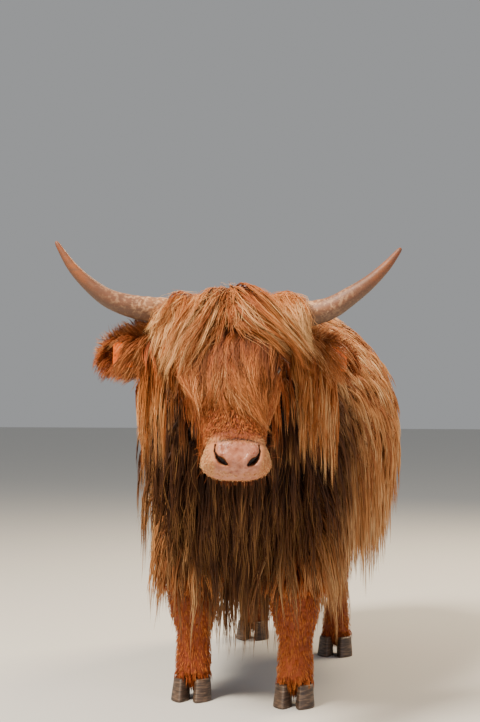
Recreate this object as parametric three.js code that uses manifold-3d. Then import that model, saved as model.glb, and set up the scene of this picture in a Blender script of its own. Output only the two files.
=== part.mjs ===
// A standing Highland cow, life size, as closed solids out to the tips of its coat.
// Millimetres, +Z up, the head towards -Y, the animal's own left towards +X.
// The origin is at the middle of the bottom of its bounding box: the level it stands on.
import * as THREE from 'three';
import { mergeVertices } from 'three/addons/utils/BufferGeometryUtils.js';
import Module from 'manifold-3d';

const wasm = await Module();
wasm.setup();

// ---- Driving dimensions ----
const GAP = 0.35;                 // clearance between two parts that touch
const WITHERS = 1165;             // height of the shoulders, with the coat
const HIPS = 1188;                // height of the croup, with the coat
const RUMP_END = 1292;            // back of the thighs, from the fore feet
const BARREL_HALF = 392;          // half width of the flanks, with the coat
const SKIRT = 272;                // height of the hair that hangs from the belly
const POLL = [31, -350, 1094];    // top of the skull, between the horns
const FACE_LENGTH = 505;          // poll to the end of the nose
const FACE_SLOPE = 33.5;          // degrees between the face and the vertical
const HEAD_TURN = 14;             // degrees that the head looks to the left
const HEAD_TILT = 1;              // degrees that the head leans to the left
const MUZZLE_HALF = 80;           // half width of the muzzle
const HORN_REACH = { left: 435, right: 461 };   // middle of the head to a horn's tip
const HORN_RISE = { left: 164, right: 160 };    // height of a horn's tip above the poll
const HORN_BASE = 35;             // radius of a horn where it leaves the skull
const EYE_RADIUS = 19.5;
const EYE_PLACE = [99, 205, 22];  // across, down the face, and out from its axis
const EAR_SWEEP = { left: 19, right: 6 };       // degrees that an ear points back
const FORE_HALF = 150;            // fore feet, from the middle line
const HIND_HALF = 164;            // hind feet, from the middle line
const FOOT_ALONG = { fore_left: -22, fore_right: 22, hind_left: 850, hind_right: 1150 };
const KNEE = 285;                 // height of the knee
const HOCK = 445;                 // height of the point of the hock
const FETLOCK = 112;
const CLAW_HEIGHT = 62;
const CLAW_LENGTH = 116;
const CLAW_WIDTH = 54;
const TAIL_ROOT = 1140;           // height of the root of the tail
const TAIL_END = 300;             // height of the tip of its switch

const finish = (color, roughness, metalness = 0) =>
  new THREE.MeshStandardMaterial({ color, roughness, metalness });
const COAT = finish('#9c5a30', 0.85);
const LONG_HAIR = finish('#b8783f', 0.8);
const LEG_HAIR = finish('#84401f', 0.85);
const NOSE = finish('#c98f80', 0.45);
const HORN = finish('#bd9272', 0.5);
const CLAW = finish('#3a2a20', 0.6);
const EYE = finish('#1d120b', 0.08);
const TAG = finish('#ee7a2c', 0.5);

// ---- Solids ----
// The geometry as places and triangles alone, with the vertices that its faces share merged.
function bareMesh(geometry) {
  const bare = geometry.clone();
  bare.deleteAttribute('normal');
  bare.deleteAttribute('uv');
  return mergeVertices(bare, 1e-3);
}

function solid(geometry) {
  const { attributes, index } = bareMesh(geometry);
  return new wasm.Manifold(new wasm.Mesh({
    numProp: 3,
    vertProperties: new Float32Array(attributes.position.array),
    triVerts: new Uint32Array(index.array),
  }));
}

// The same shape with every vertex moved out along its normal, to cut a neighbour with.
function swell(geometry) {
  const swollen = bareMesh(geometry);
  swollen.computeVertexNormals();
  const { position, normal } = swollen.attributes;
  for (let i = 0; i < position.array.length; i += 1) {
    position.array[i] += GAP * normal.array[i];
  }
  return swollen;
}

// The largest of the pieces that a cut leaves.
function largest(body) {
  const pieces = body.decompose();
  return pieces.reduce((best, piece) => (piece.volume() > best.volume() ? piece : best));
}

const cow = new THREE.Group();
const taken = [];                 // the room that the parts so far take up, with their gap

// Joins shapes into one body, cuts it back from all that is there already, and adds it, whole
// or in the parts that the blocks divide it into. What comes later also keeps out of clearings.
function place(shapes, parts, clearings = []) {
  const join = (solids) => solids.reduce((sum, next) => sum.add(next));
  const body = taken.reduce((rest, room) => rest.subtract(room), join(shapes.map(solid)));
  for (const [name, material, block] of parts) {
    add(name, block ? body.intersect(block) : body, material);
  }
  taken.push(join([...shapes, ...clearings].map((shape) => solid(swell(shape)))));
}

function add(name, body, material) {
  const { vertProperties, triVerts, numProp } = largest(body).getMesh();
  const places = new Float32Array((vertProperties.length / numProp) * 3);
  for (let i = 0; i < places.length / 3; i += 1) {
    places.set(vertProperties.subarray(i * numProp, i * numProp + 3), i * 3);
  }
  const geometry = new THREE.BufferGeometry();
  geometry.setAttribute('position', new THREE.BufferAttribute(places, 3));
  geometry.setIndex(new THREE.BufferAttribute(new Uint32Array(triVerts), 1));
  const mesh = new THREE.Mesh(geometry, material);
  mesh.name = name;
  cow.add(mesh);
}

// One column of a table of stations, as a smooth curve from 0 at its first row to 1 at its last.
function between(rows, column, u) {
  const x = u * (rows.length - 1);
  const i = Math.min(Math.floor(x), rows.length - 2);
  const f = x - i;
  const value = (k) => rows[THREE.MathUtils.clamp(k, 0, rows.length - 1)][column];
  const [a, b, c, d] = [value(i - 1), value(i), value(i + 1), value(i + 2)];
  return b + 0.5 * f * (c - a + f * (2 * a - 5 * b + 4 * c - d + f * (3 * (b - c) + d - a)));
}

// A closed loft through stations [x, y, z, half, over, under, square, narrow, squareUnder,
// narrowUnder]. Each ring lies square to the path: half wide along side, over and under it the
// other way. square 2 is an ellipse and more is boxier; narrow is how much slimmer the ring is
// at its top than in its middle. Below the middle both repeat, unless given. Ends are rounded.
function loft(stations, side, sides, rings, ends = [0.12, 0.12]) {
  const rows = stations.map(([x, y, z, half, over, under, square = 2.2, narrow = 0,
    squareUnder = square, narrowUnder = narrow]) =>
    [x, y, z, half, over, under, square, narrow, squareUnder, narrowUnder]);
  const geometry = new THREE.SphereGeometry(1, sides, rings);
  const { position } = geometry.attributes;
  const across = new THREE.Vector3(...side).normalize();
  const at = (u) => new THREE.Vector3(...[0, 1, 2].map((column) => between(rows, column, u)));
  const signedPower = (value, power) => Math.sign(value) * Math.abs(value) ** power;
  for (let i = 0; i < position.count; i += 1) {
    const ring = Math.floor(i / (sides + 1));
    const turn = (i % (sides + 1) % sides) / sides * 2 * Math.PI;
    const v = ring / rings;
    const u = v - 0.08 * Math.sin(2 * Math.PI * v);
    const rise = Math.min(1, Math.min(u / ends[0], (1 - u) / ends[1]));
    const round = ring % rings === 0 ? 0 : Math.sqrt(1 - (1 - rise) ** 2);
    const ahead = at(Math.min(1, u + 0.01)).sub(at(Math.max(0, u - 0.01)));
    const width = across.clone().addScaledVector(ahead, -across.dot(ahead) / ahead.lengthSq());
    width.normalize();
    const up = width.clone().cross(ahead).normalize();
    const over = Math.sin(turn) > 0;
    const [half, reach, square, narrow] =
      (over ? [3, 4, 6, 7] : [3, 5, 8, 9]).map((column) => between(rows, column, u));
    const s = signedPower(Math.sin(turn), 2 / square);
    const c = signedPower(Math.cos(turn), 2 / square) * (1 - narrow * Math.abs(s));
    const spot = at(u).addScaledVector(width, round * half * c)
      .addScaledVector(up, round * reach * s);
    position.setXYZ(i, spot.x, spot.y, spot.z);
  }
  return facingOut(geometry);
}

// Turns the triangles round where the loft's path runs against its rings.
function facingOut(geometry) {
  if (solid(geometry).volume() > 0) return geometry;
  const index = geometry.index.array;
  for (let i = 0; i < index.length; i += 3) [index[i], index[i + 1]] = [index[i + 1], index[i]];
  return geometry;
}

const box = (low, high) => {
  const size = high.map((value, axis) => value - low[axis]);
  return new THREE.BoxGeometry(...size)
    .translate(...low.map((value, axis) => value + size[axis] / 2));
};
const FAR = 3000;                 // past the end of the cow, for blocks that cut right through

// ---- Head, in its own frame: the origin at the poll, the face towards -Y ----
const X_AXIS = [1, 0, 0];
const SIDES = { left: 1, right: -1 };
const slope = THREE.MathUtils.degToRad(FACE_SLOPE);
const DOWN_FACE = [0, -Math.sin(slope), -Math.cos(slope)];
const OUT_OF_FACE = [0, -Math.cos(slope), Math.sin(slope)];
// The point that lies across, down the face from the poll, and out from the head's axis.
const facePoint = (across, down, out) =>
  [across, down * DOWN_FACE[1] + out * OUT_OF_FACE[1], down * DOWN_FACE[2] + out * OUT_OF_FACE[2]];
const headPlace = new THREE.Matrix4().makeTranslation(...POLL)
  .multiply(new THREE.Matrix4().makeRotationZ(THREE.MathUtils.degToRad(HEAD_TURN)))
  .multiply(new THREE.Matrix4().makeRotationY(THREE.MathUtils.degToRad(HEAD_TILT)));
const onHead = (geometry) => geometry.applyMatrix4(headPlace);
// Stations down the face: [down, out, half width, front, back, then how square and narrow the
// ring is on its jaw side and on its face side], where front is towards the face.
const downFace = (table) => table.map(([down, out, half, front, back, ...rest]) =>
  [...facePoint(0, down, out), half, back, front, ...rest]);

// ---- Eyes, each in a socket that opens outwards through the coat ----
const SOCKET_MOUTH = 30;          // radius
const SOCKET_DEPTH = 62;
const SOCKET_TURN = 0.35;         // forwards from straight out, in radians
for (const [name, sign] of Object.entries(SIDES)) {
  const [across, down, out] = EYE_PLACE;
  const centre = facePoint(sign * across, down, out);
  const ball = new THREE.SphereGeometry(EYE_RADIUS, 10, 8).translate(...centre);
  const socket = new THREE.CylinderGeometry(SOCKET_MOUTH, EYE_RADIUS - 3, SOCKET_DEPTH, 8)
    .translate(0, SOCKET_DEPTH / 2 + 2, 0).rotateZ(-sign * Math.PI / 2)
    .rotateY(-sign * SOCKET_TURN).translate(...centre);
  place([onHead(ball)], [[`eye_${name}`, EYE]], [onHead(socket)]);
}

// ---- Horns: out from the sides of the poll, then up to their tips ----
// [share of the reach, share of the rise: left, right, back, radius]
const HORN_STATIONS = [
  [0.13, -0.16, -0.16, 8, HORN_BASE],
  [0.3, -0.12, -0.1, -10, HORN_BASE],
  [0.46, -0.07, -0.06, -28, HORN_BASE - 2],
  [0.58, 0.02, -0.01, -40, HORN_BASE - 4],
  [0.7, 0.22, 0.1, -50, HORN_BASE - 7],
  [0.81, 0.44, 0.32, -56, HORN_BASE - 12],
  [0.91, 0.7, 0.61, -58, HORN_BASE - 19],
  [1.0, 1.0, 1.0, -54, HORN_BASE - 28],
];
for (const [name, sign] of Object.entries(SIDES)) {
  const rows = HORN_STATIONS.map(([reach, leftRise, rightRise, back, radius]) => [
    sign * reach * HORN_REACH[name], back, (sign > 0 ? leftRise : rightRise) * HORN_RISE[name],
    radius, radius, radius, 2, 0]);
  const horn = onHead(loft(rows, [0, 1, 0], 10, 14, [0.03, 0.06]));
  place([horn], [[`horn_${name}`, HORN]]);
}

// ---- Ear tags: a panel on the front of each ear, on a stud through it ----
const EAR_ROOT = 118;             // across from the middle of the head
const TAG_SIZE = [52, 3, 64];
const TAG_PLACE = [280, -36, -128];
const inEar = {};                 // how a shape drawn for a level ear is turned into its place
for (const [name, sign] of Object.entries(SIDES)) {
  const swing = new THREE.Matrix4().makeTranslation(sign * EAR_ROOT, 0, 0)
    .multiply(new THREE.Matrix4().makeRotationZ(THREE.MathUtils.degToRad(sign * EAR_SWEEP[name])))
    .multiply(new THREE.Matrix4().makeTranslation(-sign * EAR_ROOT, 0, 0));
  inEar[name] = (geometry) => onHead(geometry.applyMatrix4(swing));
  const [x, y, z] = TAG_PLACE;
  const panel = new THREE.BoxGeometry(...TAG_SIZE).translate(sign * x, y, z);
  const stud = new THREE.CylinderGeometry(5, 5, 60, 8).translate(sign * x, y + 30, z + 18);
  place([inEar[name](panel), inEar[name](stud)], [[`ear_tag_${name}`, TAG]]);
}

// ---- Head, muzzle and lower jaw, parted with thin cuts ----
const HEAD = [
  [-34, -20, 84, 40, 66],
  [30, -10, 122, 78, 118, 2.3],
  [110, 0, 134, 90, 150, 2.4],
  [195, 0, 132, 90, 158, 2.4],
  [280, 2, 114, 79, 134, 2.4, 0, 2.2, 0.1],
  [355, 4, 90, 67, 104, 2.4, 0, 2.2, 0.15],
  [415, 4, 81, 61, 88, 2.6, 0, 2.4, 0.15],
  [462, 0, MUZZLE_HALF, 58, 76, 3.0, 0.1, 2.8, 0.2],
  [FACE_LENGTH, -4, 66, 44, 56, 2.6, 0.1, 2.6, 0.2],
];
const MUZZLE_TOP = 372;
const MOUTH_LINE = -44;
const JAW_BACK = 150;
const headShape = onHead(loft(downFace(HEAD), X_AXIS, 14, 13, [0.06, 0.05]));
// A block in the head's frame, from one place down and out from its axis to another.
const toFace = new THREE.Matrix4().makeBasis(new THREE.Vector3(...X_AXIS),
  new THREE.Vector3(...DOWN_FACE), new THREE.Vector3(...OUT_OF_FACE));
const faceBlock = (down0, down1, out0, out1) => solid(facingOut(
  onHead(box([-FAR, down0, out0], [FAR, down1, out1]).applyMatrix4(toFace))));
place([headShape], [
  ['head', COAT, faceBlock(-FAR, MUZZLE_TOP, MOUTH_LINE, FAR)
    .add(faceBlock(-FAR, JAW_BACK, -FAR, FAR))],
  ['muzzle', NOSE, faceBlock(MUZZLE_TOP + GAP, FAR, MOUTH_LINE, FAR)],
  ['lower_jaw', COAT, faceBlock(JAW_BACK + GAP, FAR, -FAR, MOUTH_LINE - GAP)],
]);

// ---- Ears: a fringed fan at the side of the head, with long hair hanging from it ----
// [across, back, up, half height or width, behind, in front]
const EAR = [
  [EAR_ROOT, 30, -70, 34, 30, 30],
  [165, 24, -92, 62, 32, 34],
  [222, 16, -122, 84, 30, 36],
  [278, 10, -133, 84, 28, 34],
  [330, 8, -133, 66, 24, 28],
  [374, 12, -130, 30, 14, 16],
];
const EAR_HAIR = [
  [190, -4, -125, 44, 30, 30],
  [200, -12, -215, 54, 28, 30],
  [204, -16, -310, 44, 22, 24],
  [206, -16, -424, 16, 12, 12],
];
for (const [name, sign] of Object.entries(SIDES)) {
  const leaf = (table, side, sides, rings, ends) => inEar[name](loft(
    table.map(([x, y, z, ...rest]) => [sign * x, y, z, ...rest]),
    side, sides, rings, ends));
  const fan = leaf(EAR, [0, 0, sign], 10, 8, [0.08, 0.16]);
  const hair = leaf(EAR_HAIR, X_AXIS, 8, 7, [0.2, 0.3]);
  place([fan, hair], [[`ear_${name}`, LONG_HAIR]]);
}

// ---- Forelock: the fringe over the poll, the eyes and the face ----
const FORELOCK = [
  [-34, 10, 92, 36, 36],
  [22, 34, 186, 58, 56, 2.4],
  [95, 58, 212, 62, 54, 2.6],
  [180, 70, 190, 56, 48, 2.6],
  [265, 68, 142, 46, 38, 2.5],
  [345, 60, 92, 32, 28, 2.4],
  [396, 56, 48, 20, 18],
];
const forelock = onHead(loft(downFace(FORELOCK), X_AXIS, 14, 9, [0.1, 0.12]));
place([forelock], [['forelock', LONG_HAIR]]);

// ---- Legs ----
// Stations down each leg: [across, along, height, half width, behind, in front, square].
// A fore leg runs from the shoulder blade; a hind leg bends forward at the stifle and back at
// the hock, and its thigh keeps its place while its foot is set forward or back.
function foreLeg(sign, foot) {
  const x = sign * FORE_HALF;
  return [
    [sign * 170, 90, 960, 100, 110, 120],
    [sign * 190, 44, 790, 122, 156, 156],
    [sign * 192, 36 + 0.5 * foot, 620, 126, 148, 144],
    [sign * 182, 18 + foot, 480, 124, 124, 116],
    [sign * 160, 4 + foot, 372, 106, 98, 94],
    [x, foot, KNEE + 15, 69, 66, 70, 2.4],
    [x, foot, KNEE - 35, 66, 66, 68, 2.4],
    [x, foot + 3, 185, 47, 56, 47],
    [x, foot + 4, FETLOCK, 56, 64, 54],
    [x, foot - 14, 52, 58, 56, 60, 2.4],
  ];
}
function hindLeg(sign, foot) {
  const x = sign * HIND_HALF;
  const hock = foot + 84;
  const stride = foot - 1000;
  return [
    [sign * 150, 1080, 960, 120, 150, 160],
    [sign * 190, 1050, 820, 142, 206, 200, 2.4],
    [sign * 206, 1040 + 0.15 * stride, 680, 134, 190, 196, 2.3],
    [sign * 190, 1064 + 0.5 * stride, 560, 108, 140, 130],
    [sign * 172, hock, HOCK + 20, 74, 94, 74],
    [x, hock - 2, HOCK - 50, 60, 76, 64],
    [x, hock - 30, 280, 47, 55, 51],
    [x, foot + 30, 185, 45, 54, 47],
    [x, foot + 14, FETLOCK, 54, 62, 54],
    [x, foot - 12, 52, 57, 54, 58, 2.4],
  ];
}
const LEG_PART = { fore: 330, hind: HOCK - 10 };   // height where each leg's lower part begins

// A claw: half of the hoof, flat below and on its inner side, drawn out to a rounded toe.
function claw(x, foot, outward) {
  const geometry = new THREE.CylinderGeometry(1, 1, 1, 12, 1).rotateX(Math.PI / 2);
  const { position } = geometry.attributes;
  for (let i = 0; i < position.count; i += 1) {
    const level = position.getZ(i) + 0.5;
    const size = 1 - 0.2 * level;
    const across = Math.max(-0.52, position.getX(i));
    const along = position.getY(i);
    const slim = along < 0 ? 1 - 0.35 * along * along : 1;
    position.setXYZ(i,
      x + outward * (5 + (across + 0.52) * slim * size * CLAW_WIDTH / 1.52),
      foot - 22 + 26 * level + along * size * CLAW_LENGTH / 2,
      level * CLAW_HEIGHT);
  }
  return facingOut(geometry);
}

for (const [leg, foot] of Object.entries(FOOT_ALONG)) {
  const [pair, sideName] = leg.split('_');
  const sign = SIDES[sideName];
  const rows = pair === 'fore' ? foreLeg(sign, foot) : hindLeg(sign, foot);
  const [x, fetlock] = rows.at(-2);
  for (const [side, outward] of Object.entries({ outer: sign, inner: -sign })) {
    const dewclaw = new THREE.CylinderGeometry(8, 15, 30, 6)
      .rotateX(-Math.PI / 2 - 0.5)
      .translate(x + outward * 26, fetlock + 58, FETLOCK - 14);
    place([claw(x, foot, outward)], [[`${leg}_claw_${side}`, CLAW]]);
    place([dewclaw], [[`${leg}_dewclaw_${side}`, CLAW]]);
  }
  const heightOf = (from, to) => solid(box([-FAR, -FAR, from], [FAR, FAR, to]));
  place([loft(rows, X_AXIS, 10, 15, [0.06, 0.04])], [
    [`${leg}_upper`, LEG_HAIR, heightOf(LEG_PART[pair] + GAP, FAR)],
    [`${leg}_lower`, LEG_HAIR, heightOf(0, LEG_PART[pair])],
  ]);
}

// ---- Trunk, parted behind the shoulders and in front of the hips ----
// [y, top, bottom, half width, height of the widest point, then how square and narrow the
// ring is above that point and below it]
const TRUNK = [
  [-214, 800, 450, 110, 610],
  [-150, 970, 366, 205, 640, 2.2, 0, 2.4, 0],
  [-40, 1090, 340, 268, 690, 2.4, 0.05, 3, 0.1],
  [110, WITHERS, 322, 300, 720, 2.6, 0.12, 4, 0.15],
  [300, WITHERS - 20, SKIRT + 20, 345, 700, 2.7, 0.2, 4.5, 0.2],
  [520, WITHERS - 25, SKIRT, BARREL_HALF - 6, 685, 3.0, 0.22, 5, 0.24],
  [740, HIPS - 34, SKIRT, BARREL_HALF, 685, 3.2, 0.2, 5, 0.24],
  [930, HIPS - 3, SKIRT + 24, 374, 710, 3.9, 0.16, 4.5, 0.2],
  [1090, HIPS - 6, 390, 330, 770, 3.4, 0.15, 3.5, 0.12],
  [1215, HIPS - 44, 520, 272, 830, 2.8, 0.1, 2.8, 0.08],
  [RUMP_END, 1040, 650, 168, 850],
];
const SHOULDER_CUT = 330;
const HIP_CUT = 905;
const trunk = loft(TRUNK.map(([y, top, bottom, half, middle, ...shape]) =>
  [0, y, middle, half, top - middle, middle - bottom, ...shape]),
X_AXIS, 18, 15, [0.05, 0.05]);
const lengthOf = (from, to) => solid(box([-FAR, from, -FAR], [FAR, to, FAR]));
place([trunk], [
  ['chest', COAT, lengthOf(-FAR, SHOULDER_CUT)],
  ['barrel', COAT, lengthOf(SHOULDER_CUT + GAP, HIP_CUT)],
  ['rump', COAT, lengthOf(HIP_CUT + GAP, FAR)],
]);

// ---- Neck and mane ----
const NECK = [
  [24, -370, 970, 140, 140, 150],
  [16, -290, 925, 190, 206, 236, 2.3],
  [4, -150, 870, 236, 268, 330, 2.3],
  [0, 10, 830, 256, 312, 360, 2.3],
  [0, 170, 800, 236, 344, 340, 2.3],
];
const neck = loft(NECK, X_AXIS, 14, 7, [0.1, 0.14]);
place([neck], [['neck', COAT]]);

// ---- Tail ----
const TAIL = [
  [0, 1190, TAIL_ROOT - 30, 40, 30, 40],
  [0, 1276, TAIL_ROOT - 62, 44, 32, 36],
  [0, 1318, 900, 36, 28, 28],
  [0, 1322, 720, 36, 28, 28],
  [0, 1322, 560, 60, 34, 34],
  [0, 1320, 430, 62, 36, 34],
  [0, 1318, TAIL_END, 24, 14, 14],
];
const SWITCH_TOP = 640;
place([loft(TAIL, X_AXIS, 10, 13, [0.06, 0.12])], [
  ['tail', COAT, solid(box([-FAR, -FAR, SWITCH_TOP + GAP], [FAR, FAR, FAR]))],
  ['tail_switch', LONG_HAIR, solid(box([-FAR, -FAR, -FAR], [FAR, FAR, SWITCH_TOP]))],
]);

// ---- The origin: the middle of the bottom of the bounding box ----
const bounds = new THREE.Box3().setFromObject(cow);
const middle = bounds.getCenter(new THREE.Vector3());
cow.position.set(-middle.x, -middle.y, -bounds.min.z);
cow.updateMatrixWorld(true);

export default cow;
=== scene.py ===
# %% [markdown]
# A Highland cow, life size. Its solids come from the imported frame; this notebook grows the
# surfaces that the eye meets: one skin, horns, hooves, eyes, ear tags and a coat of locks.
# Everything is in metres, +Z up, with the soles on the floor and the head towards -Y.

# %% Load the frame
import bpy
import numpy as np
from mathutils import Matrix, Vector
from mathutils.kdtree import KDTree


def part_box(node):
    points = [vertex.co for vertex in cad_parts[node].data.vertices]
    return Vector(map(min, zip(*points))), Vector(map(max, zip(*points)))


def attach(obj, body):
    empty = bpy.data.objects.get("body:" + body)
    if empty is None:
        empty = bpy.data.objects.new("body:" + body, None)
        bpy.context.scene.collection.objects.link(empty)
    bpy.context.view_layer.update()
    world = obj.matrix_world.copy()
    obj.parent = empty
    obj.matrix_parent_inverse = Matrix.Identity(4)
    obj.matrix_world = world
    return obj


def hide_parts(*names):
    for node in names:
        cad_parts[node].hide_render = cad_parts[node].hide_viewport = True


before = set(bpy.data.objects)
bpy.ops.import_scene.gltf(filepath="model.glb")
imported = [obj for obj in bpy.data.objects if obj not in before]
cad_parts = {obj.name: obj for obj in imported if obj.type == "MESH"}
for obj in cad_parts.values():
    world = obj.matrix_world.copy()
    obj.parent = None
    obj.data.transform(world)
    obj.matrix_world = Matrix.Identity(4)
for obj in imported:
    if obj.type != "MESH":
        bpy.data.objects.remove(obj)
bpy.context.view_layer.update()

# %% [markdown]
# A long lens from about 4.5 metres, at the height of the animal's shoulder, looking along it
# from the front and a little from its left. The camera comes first, so that every piece can
# be judged in the view it is made for.

# %% Camera
LENS_MM = 80
SENSOR_MM = 36
CAMERA_TURN = np.radians(10.0)
# in pixels: how far under the view's middle the horizon is, and the lens's length
HORIZON_DROP = 27
FOCAL_PIXELS = 1604
CAMERA_PITCH = np.arctan(HORIZON_DROP / FOCAL_PIXELS)
CAMERA_PLACE = (0.746, -4.832, 0.885)


def new_object(name, data):
    made = bpy.data.objects.new(name, data)
    bpy.context.scene.collection.objects.link(made)
    return made


def make_camera():
    data = bpy.data.cameras.new("camera")
    data.lens = LENS_MM
    data.sensor_width = SENSOR_MM
    camera = new_object("camera", data)
    ahead = Vector((-np.sin(CAMERA_TURN) * np.cos(CAMERA_PITCH),
                    np.cos(CAMERA_TURN) * np.cos(CAMERA_PITCH), np.sin(CAMERA_PITCH)))
    camera.location = CAMERA_PLACE
    camera.rotation_euler = ahead.to_track_quat("-Z", "Y").to_euler()
    bpy.context.scene.camera = camera
    return camera


print("camera at", make_camera().location)

# %% [markdown]
# Node materials are built by one small function, which gives back the output that the next
# node reads. Colours are written as sRGB hex, as a painter would pick them, and turned to the
# linear values that the renderer works in.

# %% Colours and nodes
READ_FROM = {"Attribute": "Fac", "TexCoord": "Object", "Mix": 2}


def linear(code):
    """sRGB hex to linear: divide by 12.92 near black, else ((c + 0.055) / 1.055) ** 2.4."""
    srgb = np.array([int(code[i:i + 2], 16) / 255 for i in (1, 3, 5)])
    value = np.where(srgb <= 0.04045, srgb / 12.92, ((srgb + 0.055) / 1.055) ** 2.4)
    return (*value.tolist(), 1.0)


def set_stops(band, stops):
    """Gives a colour band its (place, hex) stops, eased from one to the next."""
    band.interpolation = "EASE"
    while len(band.elements) < len(stops):
        band.elements.new(0.5)
    for element, (place, code) in zip(band.elements, stops):
        element.position = place
        element.color = linear(code)


def plug(tree, socket, value):
    """Links a socket to the output that it reads, or else gives it its value."""
    if isinstance(value, bpy.types.NodeSocket):
        tree.links.new(value, socket)
    else:
        socket.default_value = value


def add_node(tree, kind, out=None, **settings):
    """Adds a shader node. Settings named in_... are for its sockets, by number or name, and
    the rest are the node's own."""
    node = tree.nodes.new("ShaderNode" + kind)
    for key, value in settings.items():
        if key == "stops":
            set_stops(node.color_ramp, value)
        elif key.startswith("in_"):
            plug(tree, node.inputs[int(key[3:]) if key[3:].isdigit() else key[3:]], value)
        else:
            setattr(node, key, value)
    return node.outputs[READ_FROM.get(kind, 0) if out is None else out]


def surface(material, **sockets):
    """Gives the named sockets of the material's surface their values or what they read."""
    shader = material.node_tree.nodes["Principled BSDF"]
    for key, value in sockets.items():
        plug(material.node_tree, shader.inputs[key.replace("_", " ")], value)
    return material


def new_material(name, **sockets):
    material = bpy.data.materials.new(name)
    material.use_nodes = True
    return surface(material, **sockets), material.node_tree


print("middle grey, linear:", round(linear("#808080")[0], 3))

# %% [markdown]
# The stage is a pale floor that runs far out, with a broad soft key light high on the
# animal's right, a weaker fill on its left and a rim from behind that lights the hair's edge.

# %% Floor and lights
FLOOR_REACH = 30.0
LIT_PLACE = Vector((0, -0.2, 0.7))
# name, place, size in metres, watts, colour
LIGHTS = [
    ("key", (-1.9, -3.0, 5.2), 1.5, 840, "#fff2de"),
    ("fill", (3.6, -2.6, 2.2), 2.5, 45, "#f4f4ff"),
    ("rim", (1.8, 3.8, 4.2), 2.0, 380, "#ffe4bc"),
]


def make_stage():
    mesh = bpy.data.meshes.new("floor")
    mesh.from_pydata([(x * FLOOR_REACH, y * FLOOR_REACH, 0)
                      for x, y in ((-1, -1), (1, -1), (1, 1), (-1, 1))], [], [(0, 1, 2, 3)])
    mesh.materials.append(
        new_material("pale floor paint", Base_Color=linear("#cfcdc8"), Roughness=0.9)[0])
    new_object("floor", mesh)
    world = bpy.data.worlds.new("studio air")
    world.use_nodes = True
    air = world.node_tree.nodes["Background"].inputs
    air["Color"].default_value = linear("#eceef0")
    air["Strength"].default_value = 0.40
    bpy.context.scene.world = world
    for name, place, size, power, colour in LIGHTS:
        data = bpy.data.lights.new(name, "AREA")
        data.size = size
        data.energy = power
        data.color = linear(colour)[:3]
        light = new_object(name, data)
        light.location = place
        light.rotation_euler = (LIT_PLACE - Vector(place)).to_track_quat("-Z", "Y").to_euler()


make_stage()
print("lights:", [name for name, *_ in LIGHTS])

# %% [markdown]
# A surface is a grid of points worked out as whole arrays. Most of the body's forms are
# lofts: rings carried along a path, each ring a superellipse, which is an ellipse whose
# power above two makes it boxier. Each ring may be wider on one side than on the other.

# %% Lofts
# the power and narrowness of a ring whose row ends before them
ROUND_SHAPE = (2.2, 0.0)


def smooth_rows(rows, u):
    """Catmull-Rom: a cubic through the rows, whose slope at each is half the step across it."""
    rows = np.asarray(rows, float)
    x = np.clip(u, 0, 1) * (len(rows) - 1)
    i = np.minimum(np.floor(x).astype(int), len(rows) - 2)
    f = (x - i)[..., None]
    a, b, c, d = (rows[np.clip(i + k, 0, len(rows) - 1)] for k in (-1, 0, 1, 2))
    return b + 0.5 * f * (c - a + f * (2 * a - 5 * b + 4 * c - d + f * (3 * (b - c) + d - a)))


def unit(vectors):
    """Vectors over their lengths."""
    return vectors / np.maximum(np.linalg.norm(vectors, axis=-1, keepdims=True), 1e-9)


def rings_of(rows, side, u):
    """The centre, the two directions across and the sizes of the ring at u on a path."""
    values = smooth_rows(rows, u)
    centre = values[..., :3]
    ahead = unit(smooth_rows(rows, u + 0.01)[..., :3] - smooth_rows(rows, u - 0.01)[..., :3])
    side = np.asarray(side, float)
    width = unit(side - ahead * (ahead @ side)[..., None])
    return centre, width, np.cross(width, ahead), values[..., 3:]


def loft(rows, side, around, rings, ends=(0.08, 0.08)):
    """Points on a grid: the ring at u has x = half * cos ** (2 / power) along its width and
    over or under * sin ** (2 / power) across it, and shrinks as a quarter circle at the ends.
    Rows are x, y, z, half width, over, under, power, and how much narrower the top is."""
    rows = np.array([[*row, *ROUND_SHAPE[len(row) - 6:]] for row in rows], float)
    v = np.linspace(0, 1, rings + 1)
    u = v - 0.06 * np.sin(2 * np.pi * v)
    rise = np.minimum(1, np.minimum(u / ends[0], (1 - u) / ends[1]))
    closing = np.sqrt(np.maximum(0, 1 - (1 - rise) ** 2))[:, None]
    centre, width, up, sizes = rings_of(rows, side, u)
    half, over, under, power, narrow = (sizes[:, k:k + 1] for k in range(5))
    turn = np.arange(around) / around * 2 * np.pi
    sine = np.sign(np.sin(turn)) * np.abs(np.sin(turn)) ** (2 / power)
    cosine = np.sign(np.cos(turn)) * np.abs(np.cos(turn)) ** (2 / power)
    cosine = cosine * (1 - narrow * np.abs(sine))
    reach = np.where(sine > 0, over, under)
    return (centre[:, None] + (closing * half * cosine)[..., None] * width[:, None]
            + (closing * reach * sine)[..., None] * up[:, None])


def closed_faces(rings, around):
    """Quads between neighbouring rings, with a fan of triangles at each end."""
    ring = np.arange(rings - 1)[:, None] * around
    here = np.arange(around)[None]
    after = (here + 1) % around
    quads = np.stack([ring + here, ring + after, ring + around + after, ring + around + here], -1)
    last = (rings - 1) * around
    first_pole = rings * around
    start = np.stack([np.full(around, first_pole), after[0], here[0]], -1)
    end = np.stack([np.full(around, first_pole + 1), last + here[0], last + after[0]], -1)
    return [quads.reshape(-1, 4), start, end]


def closed_grid(grid):
    """A loft's grid as points and faces: its first and last rings become single points."""
    inner = grid[1:-1]
    rings, around = inner.shape[:2]
    poles = np.stack([grid[0].mean(0), grid[-1].mean(0)])
    return np.concatenate([inner.reshape(-1, 3), poles]), closed_faces(rings, around)


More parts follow.
